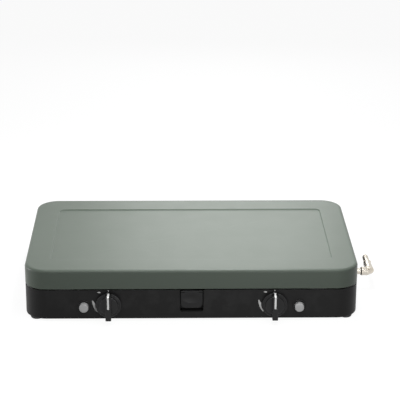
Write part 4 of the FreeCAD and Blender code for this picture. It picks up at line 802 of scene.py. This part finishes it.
class STOVE_OT_inlet(StoveOperator, bpy.types.Operator):
    """Swivelling elbow with a mitred back, and the ribbed hose tail screwed into it"""
    bl_idname = "stove.inlet"
    bl_label = "Gas inlet"

    def execute(self, context):
        start, end = span("inlet_elbow")[0][0], span("inlet_elbow")[1][1]
        arm_x, tip = middle_of("hose_tail")[0], span("hose_tail")[1][1]
        arm_end, mitre = end - INLET[1], 5.6
        path = [(start, 0), (start + 0.35, 0), (start + 1.5, 0), (start + 1.8, 0), (start + 2.1, 0),
                (arm_x - mitre, 0), (arm_x, mitre), (arm_x, arm_end - 0.6), (arm_x, arm_end)]
        elbow = tube(at_height(path, 0), (7.0, 7.5, 7.5, 7.2, 6.95, 6.95, 7.4, 6.3, 5.9),
                     FACING["top"][2], 48)
        button = [(0.3, 0), (4.6, 0), (5.0, 0.4), (5.0, 1.0), (4.4, 1.5), (0.3, 1.6)]
        boss = turned(lathe(button, 40), (arm_x - 1.0, 0, 5.9), "top")
        add_piece("elbow", [turned(elbow, INLET, "top"), turned(boss, INLET, "top")],
                  "elbow", "inlet_brass", ["inlet_elbow"])

        first, last = span("inlet_fitting")[0][0], span("inlet_fitting")[1][0]
        inside, bore, stub, thread = BASE_HIGH[0] - 1.05, 2.5, 5.25, 6.8
        section = [(bore, last), (3.7, last), (4.0, last - 0.3), (4.0, start - 0.1),
                   (4.9, start - 1.1), (stub, start - 1.5), (stub, inside), (thread, inside),
                   (thread, first + 0.3), (6.5, first), (5.3, first), (5.1, first + 0.2),
                   (5.1, first + 6.0), (bore, first + 6.0)]
        flange = hexagon(18.2, first + 8.0, first + 13.0, 0.7)
        add_piece("inlet_stub", [turned(lathe(section, 48, closed=True), INLET, "right"),
                                 turned(flange, INLET, "right")],
                  "case", "inlet_brass", ["inlet_fitting"])

        turns, barbs = context.scene.stove_sizes.thread_turns, 3
        hex_end = end + 5.4
        thread_end = hex_end + 9.6
        pitch, barb = (thread_end - hex_end - 0.6) / turns, (tip - thread_end) / barbs
        profile = [(0.3, end - 6), (4.2, end - 6), (4.2, end + 0.2), (4.2, hex_end)]
        for low in hex_end + 0.3 + pitch * np.arange(turns):
            profile += [(4.55, low + 0.05 * pitch), (5.0, low + 0.3 * pitch),
                        (5.0, low + 0.62 * pitch), (4.55, low + 0.9 * pitch)]
        for low in thread_end + barb * np.arange(barbs):
            profile += [(4.2, low + 0.1), (4.9, low + 0.5), (5.0, low + 1.1),
                        (4.25, low + barb - 0.1)]
        profile[-1] = (4.1, tip - 0.4)
        profile += [(3.7, tip), (2.8, tip), (2.6, tip - 0.3), (2.6, tip - 6), (0.3, tip - 6)]
        shapes = (lathe(profile, 56), hexagon(12.4, end + 0.4, hex_end, 0.7))
        add_piece("tail", [turned(shape, (arm_x, 0, INLET[2]), "rear") for shape in shapes],
                  "elbow", "inlet_brass", ["hose_tail"])
        return {"FINISHED"}


# ---------------------------------------------------------------- feet, screws, hinges, springs

class STOVE_OT_feet(StoveOperator, bpy.types.Operator):
    """Rubber feet with a rounded tread and a counterbore for the screw"""
    bl_idname = "stove.feet"
    bl_label = "Feet"

    def execute(self, context):
        section = [(3.7, 0.25), (3.95, 0.0), (6.0, 0.0), (6.2, 0.35), (6.8, 0.35), (7.0, 0.0),
                   (8.9, 0.0), (9.7, 0.3), (10.1, 1.0), (10.9, 3.2), (10.95, 4.0), (2.1, 4.0),
                   (2.1, 2.7), (3.6, 2.6)]
        feet = [turned(lathe(section, closed=True), (sign_x * FOOT_X, sign_y * FOOT_Y, 0), "top")
                for sign_x, sign_y in CORNERS]
        add_piece("feet", feet, "case", "rubber", ["rubber_feet"])
        return {"FINISHED"}


class STOVE_OT_screws(StoveOperator, bpy.types.Operator):
    """Cross-recessed screws of the deck and the feet, and the domed rivets of the hinges"""
    bl_idname = "stove.screws"
    bl_label = "Screws and rivets"

    def execute(self, context):
        deck, feet, edge_inset, counterbore = [], [], 9, 2.6
        head = screw_head(3.5, 1.6)
        shank = np.array([(0.2, -4.0), (1.5, -4.0), (2.0, -3.4), (2.0, 0.0), (0.2, 0.1)])
        for sign_x, sign_y in CORNERS:
            for x, y in ((HOB_HIGH[0] - edge_inset, SCREW_SIDE_Y),
                         (SCREW_FRONT_X, HOB_HIGH[1] - edge_inset)):
                deck += [turned(shape, (sign_x * x, sign_y * y, HOB_HIGH[2]), "top")
                         for shape in (head, lathe(shank, 24))]
            feet += [turned(shape, (sign_x * FOOT_X, sign_y * FOOT_Y, counterbore), "under")
                     for shape in (head, lathe(shank * (1, 1.5), 24))]
        add_piece("deck_screws", deck, "case", "zinc_steel", ["hob_screws"], finish="black_screw")
        add_piece("feet_screws", feet, "case", "zinc_steel", ["foot_screws"])

        dome = [(0.25, -2.0), (3.2, -2.0), (3.6, -1.8), (3.4, -1.0), (2.0, -1.0), (2.0, 1.0),
                (3.5, 1.0), (3.6, 1.15), (3.3, 1.6), (2.5, 1.9), (1.3, 2.0), (0.25, 2.0)]
        hinge_x, apart = 160, 16
        for node, body, face in (("base_rivets", "case", "base_paint"),
                                 ("lid_rivets", "lid", "lid_paint")):
            _, y, z = middle_of(node)
            rivets = [turned(lathe(dome, 32), (sign * hinge_x + offset, y, z), "rear")
                      for _, sign in SIDES for offset in (-apart, apart)]
            add_piece(node + "_domed", rivets, body, face, [node])
        return {"FINISHED"}


class STOVE_OT_springs(StoveOperator, bpy.types.Operator):
    """Coiled return springs of the taps, the igniters and the latch"""
    bl_idname = "stove.springs"
    bl_label = "Springs"

    def execute(self, context):
        turns = context.scene.stove_sizes.spring_turns
        for side, sign in SIDES:
            for node, x, z, wire in ((f"valve_spring_{side}", KNOB_X, KNOB_Z, 0.55),
                                     (f"igniter_spring_{side}", BUTTON_X, BUTTON_Z, 0.6)):
                low, high = span(node)
                coil = helix((high[0] - low[0]) / 2 - wire, -high[1], -low[1], turns, wire)
                add_piece(node + "_coil", [turned(coil, (sign * x, 0, z), "front")], "case",
                          "zinc_steel", [node], sharp=60, finish="spring_steel")
        low, high = span("latch_spring")
        radius, wire = 2.6, 0.5
        _, y, z = middle_of("latch_pin")
        coil = turned(helix(radius, low[0], high[0], turns, wire), (0, y, z), "right")
        leg = tube([(low[0] + 0.6, y, z + radius), (low[0] + 0.6, high[1] - 0.3, z + radius)],
                   wire, (0, 0, 1), 10)
        add_piece("latch_spring_coil", [coil, leg], "case", "zinc_steel", ["latch_spring"],
                  sharp=60, finish="spring_steel")
        return {"FINISHED"}


# ---------------------------------------------------------------- hob

class STOVE_OT_hob(StoveOperator, bpy.types.Operator):
    """Pressed steel deck: a flange, a sunk pan with a bead, and a ridge round each burner"""
    bl_idname = "stove.hob"
    bl_label = "Hob deck"

    def execute(self, context):
        sheet, width, flange_top = 1.0, 18.0, HOB_HIGH[2]
        deck_top = HOB_LOW[2] + sheet
        side = np.array([HOB_HIGH[0], HOB_HIGH[1], 33.4])
        pan = side - width
        bead_in, bead_half, bead_high, bend = 10.0, 2.6, 0.9, 2.0

        def section(under):
            """Deck's middle to the flange's edge; under is the depth below the top face."""
            wide, tight, quarter = bend + under, bend - under, np.linspace(0, np.pi / 2, 6)
            top, flange = deck_top - under, flange_top - under
            return ([grown(0.1 * pan, 0, top)]
                    + [grown(pan, bead_half * s - bead_in,
                             top + bead_high * math.cos(s * np.pi / 2) ** 2)
                       for s in np.linspace(-1, 1, 9)]
                    + [grown(pan, wide * math.sin(a) - bend, top + wide * (1 - math.cos(a)))
                       for a in quarter]
                    + [grown(pan, bend - tight * math.sin(a), flange - tight * (1 - math.cos(a)))
                       for a in quarter[::-1]]
                    + [grown(side, -0.3, flange)])

        edge = [grown(side, 0, flange_top - sheet + 0.2), grown(side, 0, flange_top - 0.2)]
        deck = rounded_skin(section(sheet) + edge + section(0.0)[::-1], 14)
        burner_hole, ridge_radius, hook_half = 28.5, 55, 20.75
        hole = lathe([(burner_hole, deck_top - 4), (burner_hole, deck_top + 4)])
        ridge = profile_arc((ridge_radius, deck_top - 0.3), 4.5, 1.5, 0, np.pi, 12)
        ridge += [(ridge_radius - 4.4, deck_top - 0.8), (ridge_radius + 4.4, deck_top - 0.8)]
        burners = [(sign * KNOB_X, middle_of("burner_cap_left")[1], 0) for _, sign in SIDES]
        cutters = [turned(hole, place, "top") for place in burners]
        ridges = [turned(lathe(ridge, 128, closed=True), place, "top") for place in burners]
        cutters.append(turned(prism(hook_half, 10.0, 0.5, flange_top - 3, flange_top + 3),
                              (0, 6.5 - side[1], 0), "top"))
        add_piece("hob_deck", [deck], "case", "stainless", ["hob_plate"], cutters)
        add_piece("burner_ridges", ridges, "case", "stainless")
        return {"FINISHED"}


class STOVE_OT_burners(StoveOperator, bpy.types.Operator):
    """Burner caps with a turned crown, and the slotted flame ring under each"""
    bl_idname = "stove.burners"
    bl_label = "Burners"

    def execute(self, context):
        ports = context.scene.stove_sizes.flame_ports
        for side, _ in SIDES:
            low, high = span(f"burner_cap_{side}")
            radius, top = (high[0] - low[0]) / 2, high[2]
            centre = (*middle_of(f"burner_cap_{side}")[:2], 0)
            rim, spigot = top - 6, 26.0
            profile = [(0.4, low[2]), (spigot - 0.4, low[2]), (spigot, low[2] + 0.4), (spigot, rim),
                       (radius - 1.0, rim)]
            profile += profile_arc((radius - 1.6, rim + 2.2), 1.6, 1.8, -np.pi / 2, np.pi / 2, 9)
            profile += [(radius - 3.4, top - 1.7), (radius - 4.4, top - 1.1), (29.5, top - 0.55),
                        (27.6, top - 0.5), (26.6, top - 1.0), (25.4, top - 1.0), (24.4, top - 0.4)]
            profile += [(r, top - 0.3 * (r / 24) ** 2) for r in np.linspace(22, 0.4, 8)]
            add_piece(f"burner_{side}_cap", [turned(lathe(profile, 96), centre, "top")],
                      f"cap_{side}", "black_cap", [f"burner_cap_{side}"])

            angle = np.linspace(0, 2 * np.pi, ports * 10, endpoint=False)
            tooth = np.clip(1.6 * np.cos(ports * angle) + 0.5, 0, 1)
            rings = []
            for height, out in ((48.0, 0.0), (48.2, 1.0), (53.0, 1.0), (53.3, 0.0)):
                radii = 33.4 + out * (0.65 + 0.9 * tooth)
                rings.append(at_height(oval(radii, radii, angle), height))
            add_piece(f"flame_ring_{side}", [turned(skin(rings), centre, "top")], "case",
                      "cast_aluminium", sharp=50)
        return {"FINISHED"}


# ---------------------------------------------------------------- stage

CAMERA_PLACE = (-30.6, -2420.5, 1022.8)
CAMERA_DOWN, CAMERA_YAW, CAMERA_ROLL = 19.92, 1.095, 0.20
CAMERA_LENS, SENSOR = 139.94, 36.0

# Name, place, target, width and depth in millimetres, and power in watts.
LAMPS = (
    ("overhead", (70, 130, 700), (55, 20, 60), 360, 360, 6.3),
    ("rear_softbox", (115, 1400, 620), (30, 0, 70), 600, 420, 2.6),
    ("front_fill", (190, -780, 100), (100, 0, 40), 260, 160, 0.75),
    ("front_high", (60, -780, 470), (40, -165, 50), 420, 110, 0.38),
    ("front_top", (90, -420, 600), (60, -165, 50), 760, 40, 1.9),
    ("left_softbox", (-1000, 0, 150), (-200, 0, 50), 300, 400, 3.6),
    ("left_kicker", (-1300, -709, 420), (-245, -145, 80), 120, 120, 1.2),
)
FLOOR_REACH, FLOOR_GREY, FLOOR_GLOW, WORLD_LIGHT = 6.0, 0.13, 0.93, 0.14


def backdrop_socket(tree):
    """1 for rays seen by the camera, a mirror or glass, and 0 for rays that carry light."""
    path = new_node(tree, "ShaderNodeLightPath")
    seen = path.outputs["Is Camera Ray"]
    for name in ("Is Glossy Ray", "Is Transmission Ray"):
        more = new_node(tree, "ShaderNodeMath", operation="MAXIMUM")
        tree.links.new(seen, more.inputs[0])
        tree.links.new(path.outputs[name], more.inputs[1])
        seen = more.outputs[0]
    return seen


def add_lamp(name, place, target, width, depth, power):
    """A soft rectangular lamp looking at a target."""
    light = bpy.data.lights.new(name, "AREA")
    light.shape = "RECTANGLE"
    light.size = width * MM
    light.size_y = depth * MM
    light.energy = power
    lamp = bpy.data.objects.new(name, light)
    lamp.location = Vector(place) * MM
    aim = Vector(target) * MM - lamp.location
    lamp.rotation_euler = aim.to_track_quat("-Z", "Y").to_euler()
    bpy.context.scene.collection.objects.link(lamp)


class STOVE_OT_stage(StoveOperator, bpy.types.Operator):
    """Plain pale floor, soft studio light and the camera"""
    bl_idname = "stove.stage"
    bl_label = "Stage"

    def execute(self, context):
        scene = context.scene
        scene.view_settings.view_transform = "Standard"

        mesh = bpy.data.meshes.new("floor")
        mesh.from_pydata([(x * FLOOR_REACH, y * FLOOR_REACH, 0) for x, y in CORNERS],
                         [], [(0, 2, 3, 1)])
        floor = bpy.data.objects.new("floor", mesh)
        scene.collection.objects.link(floor)
        pale = bpy.data.materials.new("pale_floor")
        pale.use_nodes = True
        tree = pale.node_tree
        shader = tree.nodes["Principled BSDF"]
        shader.inputs["Base Color"].default_value = (*[FLOOR_GREY] * 3, 1)
        shader.inputs["Roughness"].default_value = 0.9
        shader.inputs["Specular IOR Level"].default_value = 0.0
        glow = new_node(tree, "ShaderNodeMath", operation="MULTIPLY")
        glow.inputs[1].default_value = FLOOR_GLOW
        tree.links.new(backdrop_socket(tree), glow.inputs[0])
        shader.inputs["Emission Color"].default_value = (1, 1, 1, 1)
        tree.links.new(glow.outputs[0], shader.inputs["Emission Strength"])
        mesh.materials.append(pale)

        world = bpy.data.worlds.new("studio")
        scene.world = world
        world.use_nodes = True
        tree = world.node_tree
        light = tree.nodes["Background"]
        light.inputs["Color"].default_value = (0.95, 0.98, 1.0, 1)
        light.inputs["Strength"].default_value = WORLD_LIGHT
        white = new_node(tree, "ShaderNodeBackground")
        white.inputs["Color"].default_value = (1, 1, 1, 1)
        white.inputs["Strength"].default_value = 1.0
        choice = new_node(tree, "ShaderNodeMixShader")
        tree.links.new(backdrop_socket(tree), choice.inputs[0])
        tree.links.new(light.outputs[0], choice.inputs[1])
        tree.links.new(white.outputs[0], choice.inputs[2])
        tree.links.new(choice.outputs[0], tree.nodes["World Output"].inputs["Surface"])

        for settings in LAMPS:
            add_lamp(*settings)

        camera = bpy.data.objects.new("camera", bpy.data.cameras.new("camera"))
        camera.data.lens = CAMERA_LENS
        camera.data.sensor_width = SENSOR
        camera.data.clip_end = 100
        yaw, down, roll = (math.radians(v) for v in (CAMERA_YAW, CAMERA_DOWN, CAMERA_ROLL))
        ahead = Vector((math.sin(yaw) * math.cos(down), math.cos(yaw) * math.cos(down),
                        -math.sin(down)))
        right = Vector((math.cos(yaw), -math.sin(yaw), 0))
        above = right.cross(ahead)
        across = math.cos(roll) * right + math.sin(roll) * above
        upward = -math.sin(roll) * right + math.cos(roll) * above
        turn = Matrix((across, upward, -ahead)).transposed()
        camera.matrix_world = Matrix.Translation(Vector(CAMERA_PLACE) * MM) @ turn.to_4x4()
        scene.collection.objects.link(camera)
        scene.camera = camera
        return {"FINISHED"}


# ---------------------------------------------------------------- add-on

OPERATORS = (STOVE_OT_finishes, STOVE_OT_lid, STOVE_OT_base, STOVE_OT_marks, STOVE_OT_knobs,
             STOVE_OT_buttons, STOVE_OT_latch, STOVE_OT_inlet, STOVE_OT_feet, STOVE_OT_screws,
             STOVE_OT_springs, STOVE_OT_hob, STOVE_OT_burners, STOVE_OT_stage)


class STOVE_PT_panel(bpy.types.Panel):
    """Lists the stove's sizes, colours and building steps"""
    bl_idname = "STOVE_PT_panel"
    bl_label = "Camping stove"
    bl_space_type = "VIEW_3D"
    bl_region_type = "UI"
    bl_category = "Stove"

    def draw(self, context):
        for group in (context.scene.stove_sizes, context.scene.stove_colours):
            for name in group.__annotations__:
                self.layout.prop(group, name)
        for operator in OPERATORS:
            self.layout.operator(operator.bl_idname)


CLASSES = (StoveSizes, StoveColours) + OPERATORS + (STOVE_PT_panel,)


def register():
    for item in CLASSES:
        bpy.utils.register_class(item)
    bpy.types.Scene.stove_sizes = PointerProperty(type=StoveSizes)
    bpy.types.Scene.stove_colours = PointerProperty(type=StoveColours)


def unregister():
    del bpy.types.Scene.stove_sizes
    del bpy.types.Scene.stove_colours
    for item in reversed(CLASSES):
        bpy.utils.unregister_class(item)


def main():
    """Register the add-on and build every piece in order."""
    register()
    for operator in OPERATORS:
        group, name = operator.bl_idname.split(".")
        getattr(getattr(bpy.ops, group), name)()


if __name__ == "__main__":
    main()
